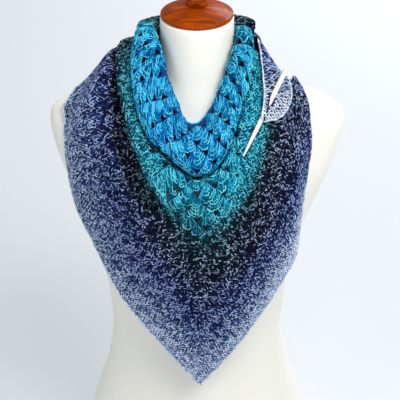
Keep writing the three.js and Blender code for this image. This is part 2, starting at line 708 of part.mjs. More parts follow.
/** The knob on the disc. */
function finialGeometry() {
  const { rim, dome, finial } = CAP;
  return turned([
    { r: 0, up: 0 },
    { r: finial, up: 0 },
    { r: finial, up: 8 },
    { r: finial - 3.5, up: 14 },
    { r: finial - 4, up: 20 },
    { r: finial, up: 27 },
    { r: finial + 3, up: 35 },
    { r: finial + 1, up: 44 },
    { r: finial - 5, up: 51 },
    { r: 0, up: 54 },
  ], NECK_TOP + CAP.gap * 2 + rim + dome * 0.7, 20);
}

/** The grid of the pinned end, rounded up between its two edges. */
function pinnedGrid() {
  const across = 6;
  const points = PINNED_END.map(({ inner, outer, swell }) => {
    const [a, b] = [new THREE.Vector3(...inner), new THREE.Vector3(...outer)];
    const lift = new THREE.Vector3(0.35, -0.35, 0.87);
    return Array.from({ length: across + 1 }, (_, k) => a.clone().lerp(b, k / across)
      .addScaledVector(lift, swell * Math.sin((Math.PI * k) / across)));
  }).reverse();
  return { points, normals: gridNormals(points) };
}

/** The tapered stick, or the clear way round it when `clear` is given. */
function pinGeometry(clear = 0) {
  const [top, point] = [new THREE.Vector3(...PIN.top), new THREE.Vector3(...PIN.point)];
  const length = top.distanceTo(point);
  const rows = [
    new THREE.Vector2(0, -clear),
    new THREE.Vector2(PIN.thin + clear, -clear),
    new THREE.Vector2(PIN.thick + clear, length - 8),
    new THREE.Vector2(PIN.thick * 0.8 + clear, length - 1 + clear),
    new THREE.Vector2(0, length + clear),
  ];
  const geometry = new THREE.LatheGeometry(rows, 14);
  const turn = new THREE.Quaternion().setFromUnitVectors(new THREE.Vector3(0, 1, 0),
    top.clone().sub(point).normalize());
  geometry.applyQuaternion(turn);
  geometry.translate(...point);
  return geometry;
}

const COLOURS = { blue: 0x1f8fc4, teal: 0x1f8f8c, violet: 0x3b3a78, navy: 0x23264a, lavender: 0x9aa0cf,
  jersey: 0xf2f0ea, wood: 0x8a3510, stick: 0xf4f2ee };

const shawl = new THREE.Group();
shawl.name = 'shawl_on_dress_form';

function add(name, geometry, colour, roughness = 0.9) {
  const material = new THREE.MeshStandardMaterial({ color: colour, roughness, metalness: 0 });
  const mesh = new THREE.Mesh(geometry, material);
  mesh.name = name;
  shawl.add(mesh);
}

/** The three stretches that lie across the front, each from one fold valley to the next. */
function addFront() {
  const span = { step: FRONT_STEP, start: -90, end: 90 };
  const middle = 90 / FRONT_STEP;
  const half = SEAM / 2;
  const roll = clothGrid({ ...span, from: PARTS.neckline, to: PARTS.rollSeam, trim: { last: half } });
  const bothEnds = { first: half, last: half };
  const teal = clothGrid({ ...span, from: PARTS.rollSeam, to: PARTS.darkSeam, trim: bothEnds });
  const panel = clothGrid({ ...span, from: PARTS.darkSeam, to: PARTS.hem, trim: { first: half } });
  const rollLengths = clothLengths(roll, middle, roll.points.map(() => 0));
  const rollEnds = rollLengths.down.map((row) => row[row.length - 1]);
  const tealLengths = clothLengths(teal, middle, rollEnds);
  const tealEnds = tealLengths.down.map((row) => row[row.length - 1]);
  const panelLengths = clothLengths(panel, middle, tealEnds);
  add('neck_roll', cut(wallGeometry(roll), laceCutters(roll, rollLengths)), COLOURS.blue);
  add('teal_fold', cut(wallGeometry(teal), laceCutters(teal, tealLengths)), COLOURS.teal);
  add('front_panel', cut(wallGeometry(panel), laceCutters(panel, panelLengths)), COLOURS.violet);
}

/** The two wings that go round the back of the neck, the left one over the right one. */
function addWings() {
  const span = { from: PARTS.neckline, to: PARTS.hem, step: BACK_STEP, side: SEAM };
  add('back_left_wing', wallGeometry(clothGrid({ ...span, start: -90, end: -262 })), COLOURS.navy);
  add('back_right_wing', wallGeometry(clothGrid({ ...span, start: 90, end: 225 })), COLOURS.navy);
}

addFront();
addWings();
add('pinned_end', cut(wallGeometry(pinnedGrid()), [pinGeometry(PIN.clear)]), COLOURS.lavender);
add('shawl_pin', mergeVertices(pinGeometry()), COLOURS.stick, 0.35);
add('form_torso', torsoGeometry(), COLOURS.jersey);
add('form_neck_cap', mergeVertices(capGeometry()), COLOURS.wood, 0.3);
add('form_finial', mergeVertices(finialGeometry()), COLOURS.wood, 0.3);

export default shawl;
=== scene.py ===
"""A crocheted triangle shawl, worn point to the front like a cowl, on a limbless dress form.

The cloth is drawn in sections round the neck, in millimetres, as its solids are. A section starts at
the neckline edge, passes over the roll, the teal fold and the pleat, and ends at the hem. The ground
of the cloth is one thin sheet, and every stitch that shows is a strand of yarn laid on it.
"""

import logging
import math
from dataclasses import dataclass, field
from enum import Enum

import bmesh
import bpy
import numpy as np
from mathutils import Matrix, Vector

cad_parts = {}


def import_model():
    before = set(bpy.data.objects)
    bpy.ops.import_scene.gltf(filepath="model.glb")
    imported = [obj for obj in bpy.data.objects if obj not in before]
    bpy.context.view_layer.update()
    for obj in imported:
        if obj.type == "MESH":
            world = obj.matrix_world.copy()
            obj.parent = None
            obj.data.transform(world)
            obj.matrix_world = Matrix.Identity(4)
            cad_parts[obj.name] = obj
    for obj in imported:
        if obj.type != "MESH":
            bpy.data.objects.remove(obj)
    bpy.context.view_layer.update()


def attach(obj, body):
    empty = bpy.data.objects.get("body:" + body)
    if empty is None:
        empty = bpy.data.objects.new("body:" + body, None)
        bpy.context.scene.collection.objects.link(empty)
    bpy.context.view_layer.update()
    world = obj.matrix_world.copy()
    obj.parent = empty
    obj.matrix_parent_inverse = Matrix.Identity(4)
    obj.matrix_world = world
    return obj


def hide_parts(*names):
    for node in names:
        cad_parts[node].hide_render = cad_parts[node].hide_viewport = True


LOG = logging.getLogger("shawl")
MM = 0.001
SEED = 602
LAST_RAIL = 14
PALEST = 6

Array = np.ndarray
Colour = tuple[float, float, float]


def unit(vectors: Array) -> Array:
    """Gives vectors of length one along the last axis."""
    return vectors / np.maximum(np.linalg.norm(vectors, axis=-1, keepdims=True), 1e-9)


def linear(red: int, green: int, blue: int) -> Colour:
    """Turns a screen colour of 0 to 255 into the linear colour that a shader takes."""
    def channel(value: int) -> float:
        """Turns one channel linear."""
        part = value / 255
        return part / 12.92 if part <= 0.04045 else ((part + 0.055) / 1.055) ** 2.4
    return channel(red), channel(green), channel(blue)


def run_of(points: Array) -> Array:
    """Gives how far along a line each of its points lies."""
    return np.concatenate([[0], np.cumsum(np.linalg.norm(np.diff(points, axis=0), axis=1))])


def read_line(values: Array, run: Array, marks: Array) -> Array:
    """Reads a line's vectors at distances along it."""
    return np.stack([np.interp(marks, run, values[:, column]) for column in range(3)], axis=-1)


def in_cells(table: Array, i: Array, j: Array, s: Array, t: Array) -> Array:
    """Reads a table in its cells (i, j), at the parts s and t of their sides."""
    low = table[i, j] * (1 - s) + table[i + 1, j] * s
    high = table[i, j + 1] * (1 - s) + table[i + 1, j + 1] * s
    return low * (1 - t) + high * t


def joined(groups: list[tuple[Array, ...]]) -> list[Array]:
    """Joins groups of arrays end to end, part by part."""
    return [np.concatenate(parts) for parts in zip(*groups)]


def lay_grid(mesh: bmesh.types.BMesh, places: Array, tones: Array) -> list[bmesh.types.BMVert]:
    """Adds a grid to a bmesh and moves its vertices to their places.

    Args:
        mesh: The bmesh.
        places: Points in millimetres, in rows and columns.
        tones: The yarn's tone at each point.

    Returns:
        The grid's vertices.
    """
    layers = mesh.verts.layers.float
    layer = layers["tone"] if "tone" in layers else layers.new("tone")
    rows, columns = places.shape[0] - 1, places.shape[1] - 1
    verts = bmesh.ops.create_grid(mesh, x_segments=rows, y_segments=columns, size=1)["verts"]
    for vert in verts:
        i = round((vert.co.x + 1) / 2 * rows)
        j = round((vert.co.y + 1) / 2 * columns)
        vert.co = places[i, j] * MM
        vert[layer] = tones[i, j] / PALEST
    return verts


def solid_wall(piece: bpy.types.Object, thickness: float) -> bpy.types.SolidifyModifier:
    """Gives a sheet its thickness in millimetres, inwards from its outer face."""
    wall = piece.modifiers.new("thickness", "SOLIDIFY")
    wall.thickness = thickness * MM
    wall.offset = -1
    return wall


@dataclass(frozen=True)
class Rail:
    """One fold line of the cloth: rows of (at, turn, out, up), with a smooth curve through them.

    `at` is the section's angle round the neck, 0 at the front and negative to the left of the
    picture. `turn` is the angle that the line itself has reached there, `out` is the distance from
    the neck's axis, and `up` is the height. `point` is the row where the line turns sharply.
    """

    rows: tuple[tuple[float, ...], ...]
    point: int = -1

    def column(self, index: int, at: Array) -> Array:
        """Reads one column at each place.

        Args:
            index: The column's number.
            at: The places, in degrees round the neck.

        Returns:
            The column's value at each place.
        """
        table = np.array(self.rows, dtype=float)
        places, values = table[:, 0], table[:, index]
        last = len(places) - 1
        k = np.clip(np.searchsorted(places, at, side="right") - 1, 0, last - 1)

        def slope(row: Array, side: int) -> Array:
            """Gives the slope at a row, from its neighbours on the open side."""
            low = np.where((row == self.point) & (side > 0), row, np.maximum(row - 1, 0))
            high = np.where((row == self.point) & (side < 0), row, np.minimum(row + 1, last))
            return (values[high] - values[low]) / (places[high] - places[low])

        span = places[k + 1] - places[k]
        t = np.clip((at - places[k]) / span, 0, 1)
        t2, t3 = t * t, t * t * t
        return ((2 * t3 - 3 * t2 + 1) * values[k] + (t3 - 2 * t2 + t) * slope(k, 1) * span
                + (3 * t2 - 2 * t3) * values[k + 1] + (t3 - t2) * slope(k + 1, -1) * span)

    def points(self, at: Array) -> Array:
        """Gives the line's point on each section."""
        turn = np.radians(self.column(1, at))
        out = self.column(2, at)
        return np.stack([out * np.sin(turn), -out * np.cos(turn), self.column(3, at)], axis=-1)


def rail(*rows: tuple[float, ...], point: int = -1) -> Rail:
    """Makes a rail from rows of (at, out, up), or (at, turn, out, up) where the two angles differ."""
    return Rail(tuple(row if len(row) == 4 else (row[0], *row) for row in rows), point)


# The roll that the neckline is turned into
INNER_EDGE = rail(
    (-262, 64, 762), (-240, 65, 752), (-210, 65, 743), (-180, 63, 741), (-150, 62, 743),
    (-120, 59, 749), (-90, 53.5, 751), (-60, 56, 748), (-45, 60, 718), (-30, 62, 693), (-15, 67, 659),
    (0, 66.5, 655), (15, 63, 671), (30, 58, 696), (45, 56, 719), (60, 54.5, 742), (90, 52, 748),
    (120, 51.5, 738), (150, 52.5, 728), (225, 53.5, 722))
CREST = rail(
    (-262, 65, 766), (-240, 68, 756), (-210, 70, 749), (-180, 67, 747), (-150, 66, 750),
    (-120, 63, 757), (-105, 61, 763), (-90, 60, 767), (-75, 62, 770), (-60, 63, 766), (-45, 67, 750),
    (-30, 72, 709), (-20, 76, 689), (-10, 82, 661), (0, 87, 652), (10, 82, 666), (20, 74, 690),
    (30, 68, 712), (45, 63, 738), (60, 60, 756), (75, 57.5, 767), (90, 56, 763), (120, 56, 748),
    (150, 55.5, 738), (180, 56.5, 734), (225, 57.5, 730))
LIP = rail(
    (-262, 76, 753), (-240, 80, 747), (-210, 86, 736), (-180, 86, 733), (-150, 86, 735),
    (-120, 84, 742), (-105, 81, 749), (-90, 79, 754), (-75, 84, 752), (-60, 98, 735), (-50, 107, 705),
    (-35, 116, 661), (-20, 119, 640), (-7, 126, 625), (0, 130, 620), (10, 128, 626), (22, 116, 652),
    (33, 101, 686), (42, 97, 710), (55, 88, 737), (67, 79, 751), (78, 72, 751), (90, 69, 745),
    (120, 68, 737), (150, 67, 722), (180, 66, 718), (225, 65, 722))
# The second fold, which lies round the roll and overhangs the dark cloth on the left
TEAL_LIP = rail(
    (-262, 86, 733), (-240, 90, 732), (-210, 98, 710), (-180, 101, 705), (-150, 103, 706),
    (-120, 103, 721), (-105, 103, 730), (-90, 103, 736), (-78, 107, 737), (-65, 115, 715),
    (-53, 123, 693), (-45, 129, 670), (-37, 136, 643), (-30, 141, 622), (-24, 146, 603),
    (-16, 149, 584), (0, 148, 588), (10, 147, 594), (20, 143, 606), (30, 137, 628), (45, 124, 668),
    (60, 108, 712), (75, 91, 728), (90, 83, 716), (120, 83, 710), (150, 80, 698), (180, 78, 692),
    (225, 74, 708))
# The pleat on the left and the smooth cloth on the right
RIDGE = rail(
    (-262, 94, 716), (-240, 98, 715), (-210, 106, 688), (-180, 110, 678), (-150, 112, 680),
    (-120, 118, 706), (-90, 119, 718), (-71, 124, 716), (-56, 141, 651), (-45, 149, 617),
    (-39, 151, 586), (-30, 150, 566), (-15, 146, 549), (0, 144, 543), (15, 145, 549), (30, 145, 576),
    (45, 142, 626), (60, 131, 680), (75, 111, 700), (90, 100, 690), (120, 100, 687), (150, 92, 672),
    (180, 88, 668), (225, 82, 698))
# The panel, from the pleat to the hem
CHEST = rail(
    (-262, 98, 707), (-240, 104, 701), (-210, 112, 668), (-180, 116, 650), (-150, 121, 648),
    (-120, 136, 684), (-90, 138, 693), (-80, 142, 695), (-69, 154, 684), (-57, 161, 600),
    (-45, 155, 550), (-30, 150, 500), (-15, 143, 470), (0, 139, 460), (15, 141, 466),
    (30, 147, 498), (45, 152, 548), (58, 57, 157, 612), (66, 150, 660), (75, 131, 691),
    (90, 122, 680), (120, 118, 665), (150, 103, 645), (180, 98, 645), (225, 90, 688))
BODICE = rail(
    (-262, 102, 700), (-240, 108, 690), (-210, 117, 645), (-180, 120, 622), (-150, 127, 610),
    (-120, 151, 648), (-105, 153, 669), (-90, 155, 671), (-80, 163, 671), (-75, 173, 655),
    (-69, 177, 615), (-57, 166, 540), (-45, 156, 482), (-30, 146, 432), (-15, 137, 390),
    (0, 1, 131, 362), (15, 134, 386), (30, 141, 425), (45, 152, 478), (58, 57.5, 161, 545),
    (66, 62, 163, 610), (75, 71, 150, 668), (90, 135, 674), (120, 137, 645), (150, 112, 610),
    (180, 105, 615), (225, 98, 680))
HEM = rail(
    (-262, 106, 694), (-240, 111, 681), (-210, 120, 625), (-180, 122, 592), (-150, 131, 572),
    (-120, 160, 585), (-112, 168, 630), (-105, 167, 653), (-90, 172, 659), (-80, 180, 652),
    (-75, 182, 600), (-69, 179, 534), (-57.7, 167, 480), (-44, 156, 416), (-25, 142, 352),
    (0, 1.8, 125, 262), (33, 138, 357), (52, 52.5, 158, 438), (58, 59, 161, 466),
    (62, 60, 164, 530), (66, 61, 167, 575), (72, 65, 167, 625), (78, 71, 158, 655),
    (90, 88, 145, 668), (105, 141, 664), (120, 157, 595), (150, 121, 572), (180, 111, 588),
    (225, 106, 672),
    point=15)
# How far the cloth goes in under each overhang: rows of (at, roll, teal, pleat)
TUCKS = Rail((
    (-262, 0.15, 0.1, 0), (-180, 0.35, 0.3, 0.3), (-90, 0.35, 0.6, 0.5), (-60, 0.7, 1, 1),
    (-30, 1, 1, 1), (-12, 1.05, 0.35, 0.3), (0, 1.05, 0.15, 0), (30, 1, 0, 0), (60, 0.6, 0, 0),
    (90, 0.3, 0, 0), (225, 0.2, 0, 0)))
# The yarn's colour along a section: rows of (at, at the rails 0, 3, 7, 8, 10, 11, 12, 13 and 14),
# where 0 is azure, 1 teal, 2 dark teal, 3 near-black navy, 4 violet, 5 lavender and 6 the palest
TONES = Rail((
    (-262, 2.2, 2.6, 3, 3.2, 3.6, 3.8, 4.2, 4.6, 5),
    (-120, 1.8, 2.0, 2.3, 2.6, 3, 3.4, 4.0, 4.5, 5),
    (-90, 1.5, 1.4, 1.9, 2.4, 3.0, 3.6, 4.3, 4.6, 4.9),
    (-70, 0.7, 0.3, 1.4, 2.1, 3.0, 3.7, 4.5, 4.8, 5.1),
    (-45, 0.2, 0.1, 0.95, 1.6, 3.0, 3.7, 4.2, 4.7, 5.3),
    (-25, 0.0, 0.0, 0.8, 1.2, 2.4, 3.1, 3.8, 4.7, 5.5),
    (0, 0.0, 0.1, 0.8, 0.9, 1.1, 1.4, 3.0, 4.3, 5.6),
    (25, 0.2, 0.3, 0.8, 0.9, 1.4, 2.1, 3.1, 4.2, 5.6),
    # From 45 to 75 the roll (rails 0 and 3) turns turquoise: partly the yarn's own colour, partly
    # painted light from the right.
    (45, 0.5, 0.6, 0.8, 1.1, 2.3, 3.0, 3.2, 4.5, 5.9),
    (60, 0.6, 0.7, 0.9, 1.5, 2.8, 3.1, 3.3, 4.4, 5.9),
    (67, 0.65, 0.75, 1.1, 1.9, 2.9, 3.05, 3.15, 3.5, 4.3),
    (75, 0.7, 0.8, 1.4, 2.3, 3.0, 3.1, 3.1, 3.3, 3.6),
    (90, 1.2, 1.6, 2.2, 2.7, 3.1, 3.2, 3.2, 3.3, 3.6),
    (225, 2.0, 2.4, 2.8, 3.0, 3.2, 3.4, 3.8, 4.2, 4.8)))
TONE_RAILS = np.array([0, 3, 7, 8, 10, 11, 12, 13, 14], dtype=float)


@dataclass(frozen=True)
class Tuck:
    """A place in a full tuck, measured in and down from the lip or ridge above it."""

    inward: float
    down: float

    def under(self, points: Array, across: Array, drop: Array) -> Array:
        """Moves points in towards the neck's axis and down.

        Args:
            points: One point for each section.
            across: The part of the inward distance that is taken on each section.
            drop: The part of the drop that is taken on each section.

        Returns:
            The moved points.
        """
        reach = np.hypot(points[:, 0], points[:, 1])
        keep = (reach - self.inward * across) / reach
        return np.stack([points[:, 0] * keep, points[:, 1] * keep, points[:, 2] - self.down * drop],
                        axis=-1)


UNDER_ROLL = Tuck(8, 12)
ROLL_VALLEY = Tuck(24, 21)
TEAL_ROOT = Tuck(15, 27)
TEAL_CREST = Tuck(3, 19)
ROLL_SWELL = Tuck(-6, -5)
SHALLOW_CREST = Tuck(-8, 11)
UNDER_TEAL = Tuck(9, 13)
PLEAT_VALLEY = Tuck(14, 10)


def section_rails(at: Array) -> Array:
    """Gives the fold lines' points on each section, from the neckline to the hem.

    Args:
        at: The sections' angles.

    Returns:
        Fifteen points for each section.
    """
    roll, teal, pleat = (TUCKS.column(index, at) for index in (1, 2, 3))
    one = np.ones_like(at)
    drop = np.sqrt(roll)
    crest, lip, teal_lip, ridge = (line.points(at) for line in (CREST, LIP, TEAL_LIP, RIDGE))

    def mix(a: Array, b: Array, part: Array) -> Array:
        """Blends two lines of points."""
        return a + (b - a) * part[:, None]

    face = ROLL_SWELL.under(mix(crest, lip, one * 0.5), one, one)
    teal_crest = mix(SHALLOW_CREST.under(lip, one, one), TEAL_CREST.under(lip, one, one), roll)
    teal_under = mix(mix(teal_lip, ridge, one * 0.3), UNDER_TEAL.under(teal_lip, one, one), teal)
    dark_valley = mix(mix(teal_lip, ridge, one * 0.65), PLEAT_VALLEY.under(ridge, one, one), pleat)
    return np.stack([
        INNER_EDGE.points(at), crest, face, lip, UNDER_ROLL.under(lip, roll, drop),
        ROLL_VALLEY.under(lip, roll, drop), TEAL_ROOT.under(lip, roll, drop), teal_crest, teal_lip,
        teal_under, dark_valley, ridge, CHEST.points(at), BODICE.points(at), HEM.points(at)], axis=1)


def through_rails(rails: Array, k: Array) -> Array:
    """Reads centripetal curves through each section's fold points.

    Args:
        rails: The fold points, one row of them for each section.
        k: Places along the curves as rail numbers with parts of one.

    Returns:
        A point for each section and place.
    """
    ends = 2 * rails[:, :1] - rails[:, 1:2], 2 * rails[:, -1:] - rails[:, -2:-1]
    padded = np.concatenate([ends[0], rails, ends[1]], axis=1)
    i = np.clip(np.floor(k).astype(int), 0, rails.shape[1] - 2)
    t = (k - i)[None, :, None]
    x0, x1, x2, x3 = (padded[:, i + step] for step in range(4))

    def knot(a: Array, b: Array) -> Array:
        """Gives the step between two points in the curve's own measure."""
        return np.maximum(np.linalg.norm(b - a, axis=-1, keepdims=True), 1e-6) ** 0.5

    d0, d1, d2 = knot(x0, x1), knot(x1, x2), knot(x2, x3)
    m1 = ((x1 - x0) / d0 - (x2 - x0) / (d0 + d1) + (x2 - x1) / d1) * d1
    m2 = ((x2 - x1) / d1 - (x3 - x1) / (d1 + d2) + (x3 - x2) / d2) * d1
    t2, t3 = t * t, t * t * t
    return ((2 * t3 - 3 * t2 + 1) * x1 + (t3 - 2 * t2 + t) * m1
            + (3 * t2 - 2 * t3) * x2 + (t3 - t2) * m2)


@dataclass(frozen=True)
class Bust:
    """The two soft mounds at the form's front."""

    side: float = 68
    up: float = 458
    rise: float = 17
    wide: float = 42
    high: float = 52

    def forward(self, x: Array, up: Array) -> Array:
        """Says how far the mounds stand forward at each side and height."""
        level = ((up - self.up) / self.high) ** 2
        mounds = [np.exp(-((x - side * self.side) / self.wide) ** 2 - level) for side in (-1, 1)]
        return self.rise * (mounds[0] + mounds[1])


@dataclass
class DressForm:
    """The limbless form: rings of (up, half width, front depth, back depth, squareness)."""

    rows: tuple[tuple[float, float, float, float, float], ...] = (
        (0, 166, 103, 114, 2.3), (45, 171, 106, 122, 2.3), (90, 168, 106, 125, 2.3),
        (131, 160, 103, 120, 2.25), (174, 148, 98, 108, 2.2), (221, 134, 91, 92, 2.1),
        (281, 125, 86, 77, 2.05), (330, 127, 89, 78, 2.05), (380, 132, 96, 88, 2.1),
        (430, 142, 103, 97, 2.15), (475, 152, 107, 103, 2.2), (528, 172, 105, 106, 2.25),
        (568, 187, 99, 103, 2.25), (600, 196, 88, 98, 2.2), (628, 200, 78, 89, 2.15),
        (642, 197, 71, 83, 2.1), (651, 184, 66, 77, 2.1), (659, 158, 62, 72, 2.05),
        (667, 130, 59, 68, 2.05), (677, 98, 56, 63, 2), (688, 72, 53.5, 57, 2),
        (702, 57, 51.5, 52, 2), (728, 50.5, 50.5, 47.5, 2), (778, 48.5, 50.5, 45.5, 2))
    bust: Bust = field(default_factory=Bust)
    sides: int = 96
    rings_per_row: int = 4
    rounding: float = 1.6
    rounding_steps: int = 3
    rounding_angle: float = 60

    def __post_init__(self) -> None:
        """Draws a smooth curve through the rings' table."""
        table = np.array(self.rows, dtype=float)
        steps = np.linspace(0, len(table) - 1, (len(table) - 1) * self.rings_per_row + 1)
        self.rings = through_rails(table[None], steps)[0]
        self.rings[:, 1] = np.minimum(self.rings[:, 1], table[:, 1].max())

    def inside(self, points: Array) -> Array:
        """Says of each point whether it is in the form."""
        x, y, up = points[..., 0], points[..., 1], points[..., 2]
        half, front, back, square = (
            np.interp(up, self.rings[:, 0], self.rings[:, column]) for column in (1, 2, 3, 4))
        depth = np.where(y < 0, front + self.bust.forward(x, up), back)
        near = (np.abs(x) / half) ** square + (np.abs(y) / depth) ** square < 1
        return near & (up < self.rings[-1, 0])

    def build(self) -> bpy.types.Object:
        """Wraps a grid round the rings and closes its seam and its ends.

        Returns:
            The form's body.
        """
        mesh = bmesh.new()
        count = len(self.rings) - 1
        bmesh.ops.create_grid(mesh, x_segments=self.sides, y_segments=count, size=1)
        for vert in mesh.verts:
            angle = (vert.co.x + 1) * math.pi
            up, half, front, back, square = self.rings[round((vert.co.y + 1) / 2 * count)]
            side, ahead = math.sin(angle), math.cos(angle)
            x = half * math.copysign(abs(side) ** (2 / square), side)
            depth = front + float(self.bust.forward(np.float64(x), up)) if ahead > 0 else back
            y = -depth * math.copysign(abs(ahead) ** (2 / square), ahead)
            vert.co = Vector((x, y, up)) * MM
        bmesh.ops.remove_doubles(mesh, verts=mesh.verts[:], dist=0.01 * MM)
        bmesh.ops.holes_fill(mesh, edges=mesh.edges[:], sides=0)
        bmesh.ops.recalc_face_normals(mesh, faces=mesh.faces[:])
        body = new_object("form_body", mesh)
        ends = body.modifiers.new("rounded_ends", "BEVEL")
        ends.limit_method = "ANGLE"
        ends.width = self.rounding * MM
        ends.segments = self.rounding_steps
        ends.angle_limit = math.radians(self.rounding_angle)
        return body


def new_object(name: str, mesh: bmesh.types.BMesh, smooth: bool = True) -> bpy.types.Object:
    """Turns a bmesh into an object at the origin.

    Args:
        name: The piece's name.
        mesh: The bmesh, which is used up.
        smooth: Whether its faces are shaded smooth.

    Returns:
        The object, linked to the scene.
    """
    data = bpy.data.meshes.new(name)
    for face in mesh.faces:
        face.smooth = smooth
    mesh.to_mesh(data)
    mesh.free()
    piece = bpy.data.objects.new(name, data)
    bpy.context.scene.collection.objects.link(piece)
    return piece


@dataclass
class Drape:
    """The shawl's middle surface, with the distances along it that the stitches are counted in.

    `reach` is how far the cloth's inner side stays from the form. `push` is the step by which a point
    in the form is moved out, in at most `rounds` steps, and the last two fields spread and soften
    those moves. `longest` is more than the longest section.
    """

    form: DressForm
    first: float = -262
    last: float = 225
    rail_step: float = 0.025
    reach: float = 2.3
    push: float = 0.4
    rounds: int = 60
    longest: int = 500
    spread_rounds: int = 4
    soften_rounds: int = 6

    def __post_init__(self) -> None:
        """Draws the sections, lays them on the form and measures them."""
        self.at = np.arange(self.first, self.last + 0.5)
        self.k = np.linspace(0, LAST_RAIL, round(LAST_RAIL / self.rail_step) + 1)
        points = through_rails(section_rails(self.at), self.k)
        self.points = self.lay_on_form(points, self.outward(points))
        self.normals = self.outward(self.points)
        steps = np.linalg.norm(np.diff(self.points, axis=1), axis=-1)
        self.down = np.concatenate([np.zeros((len(self.at), 1)), np.cumsum(steps, axis=1)], axis=1)
        hops = np.linalg.norm(np.diff(self.points, axis=0), axis=-1)
        run = np.concatenate([np.zeros((1, len(self.k))), np.cumsum(hops, axis=0)], axis=0)
        self.across = run - run[int(-self.first)]
        self.length = self.down[:, -1]
        self.even = self.resample()

    @staticmethod
    def outward(points: Array) -> Array:
        """Gives the outward direction at each point of the surface."""
        return unit(np.cross(np.gradient(points, axis=1), np.gradient(points, axis=0)))

    def lay_on_form(self, points: Array, normals: Array) -> Array:
        """Moves the cloth out where its inner face would be in the form.

        Args:
            points: The points of the middle surface.
            normals: The outward direction at each.

        Returns:
            The moved points.
        """
        lift = np.zeros(points.shape[:2])
        for _ in range(self.rounds):
            hit = self.form.inside(points + normals * (lift[..., None] - self.reach))
            if not hit.any():
                break
            lift[hit] += self.push
        soft = lift.copy()
        for _ in range(self.spread_rounds):
            for axis in (0, 1):
                soft = np.maximum.reduce([soft, np.roll(soft, 1, axis), np.roll(soft, -1, axis)])
        for _ in range(self.soften_rounds):
            for axis in (0, 1):
                soft = (np.roll(soft, 1, axis) + np.roll(soft, -1, axis) + 2 * soft) / 4
        return points + normals * np.maximum(lift, soft)[..., None]

    def resample(self) -> dict[str, Array]:
        """Reads the surface's tables at each millimetre down each section.

        Returns:
            Tables of points, outward directions, rail numbers and distances across.
        """
        depth = np.arange(self.longest, dtype=float)
        columns = np.stack([
            np.interp(np.minimum(depth, self.length[i]), self.down[i], np.arange(len(self.k)))
            for i in range(len(self.at))])
        low = np.clip(columns.astype(int), 0, len(self.k) - 2)
        part = (columns - low)[..., None]
        rows = np.arange(len(self.at))[:, None]

        def read(values: Array) -> Array:
            """Reads a table at the columns found."""
            return values[rows, low] * (1 - part) + values[rows, low + 1] * part

        return {"points": read(self.points), "normals": unit(read(self.normals)),
                "rails": read(np.broadcast_to(self.k, self.down.shape)[..., None])[..., 0],
                "across": read(self.across[..., None])[..., 0]}

    def read(self, name: str, at: Array, down: Array) -> Array:
        """Reads one of the even tables between its rows and columns.

        Args:
            name: The table's name.
            at: Sections' angles.
            down: Distances down the sections, in millimetres.

        Returns:
            The table's value at each place.
        """
        table = self.even[name]
        s = np.clip(at - self.first, 0, len(self.at) - 1.001)
        t = np.clip(down, 0, self.longest - 1.001)
        i, j = s.astype(int), t.astype(int)
        s, t = s - i, t - j
        if table.ndim == 3:
            s, t = s[..., None], t[..., None]
        return in_cells(table, i, j, s, t)

    def length_at(self, at: Array) -> Array:
        """Gives the length of the section at each angle."""
        return np.interp(at, self.at, self.length)

    def tone(self, at: Array, rails: Array) -> Array:
        """Gives the yarn's tone at sections' angles and rail numbers of the same shape."""
        flat_at, flat_rails = np.ravel(at), np.ravel(rails)
        count = len(TONE_RAILS)
        columns = np.stack([TONES.column(index + 1, flat_at) for index in range(count)], axis=1)
        i = np.clip(np.searchsorted(TONE_RAILS, flat_rails, side="right") - 1, 0, count - 2)
        t = np.clip((flat_rails - TONE_RAILS[i]) / (TONE_RAILS[i + 1] - TONE_RAILS[i]), 0, 1)
        picked = np.arange(len(flat_at))
        values = columns[picked, i] * (1 - t) + columns[picked, i + 1] * t
        return np.clip(values, 0, PALEST).reshape(np.shape(at))


@dataclass
class Lace:
    """The lattice of the shell lace: its gaps, and the fans between them.

    `along` and `row` are the pitch of the lattice, `wide` and `high` the size of a gap. The lace ends
    where the distances across and down add up to `end`, and at the angle `side`.
    """

    drape: Drape
    along: float = 25
    row: float = 20
    wide: float = 10
    high: float = 8
    end: float = 240
    side: float = 88
    step: float = 0.5
    well_inside: float = 0.99

    def row_places(self, number: int, shift: float) -> Array:
        """Finds the lattice places of one row.

        Args:
            number: The row's number from the neckline.
            shift: How far the places are moved along, in parts of the pitch.

        Returns:
            Rows of (at, down, across per degree) for each place in the lace.
        """
        at = np.arange(-self.side, self.side + self.step / 2, self.step)
        down = np.full_like(at, number * self.row)
        across = self.drape.read("across", at, down)
        inside = (np.abs(across) + down < self.end) & (down < self.drape.length_at(at) - self.row)
        first, last = math.ceil(across.min() / self.along), math.floor(across.max() / self.along)
        wanted = (np.arange(first - 1, last + 2) + (number % 2) * 0.5 + shift) * self.along
        wanted = wanted[(wanted > across.min()) & (wanted < across.max())]
        place = np.interp(wanted, across, at)
        keep = np.interp(place, at, inside.astype(float)) > self.well_inside
        rate = np.interp(place, at, np.gradient(across, at))
        return np.stack([place, np.full_like(place, number * self.row), rate], axis=1)[keep]

    def places(self, shift: float) -> Array:
        """Finds the lattice places of all rows, as `row_places` does."""
        rows = [self.row_places(number, shift) for number in range(1, int(self.end // self.row) + 1)]
        return np.concatenate([row for row in rows if len(row)])


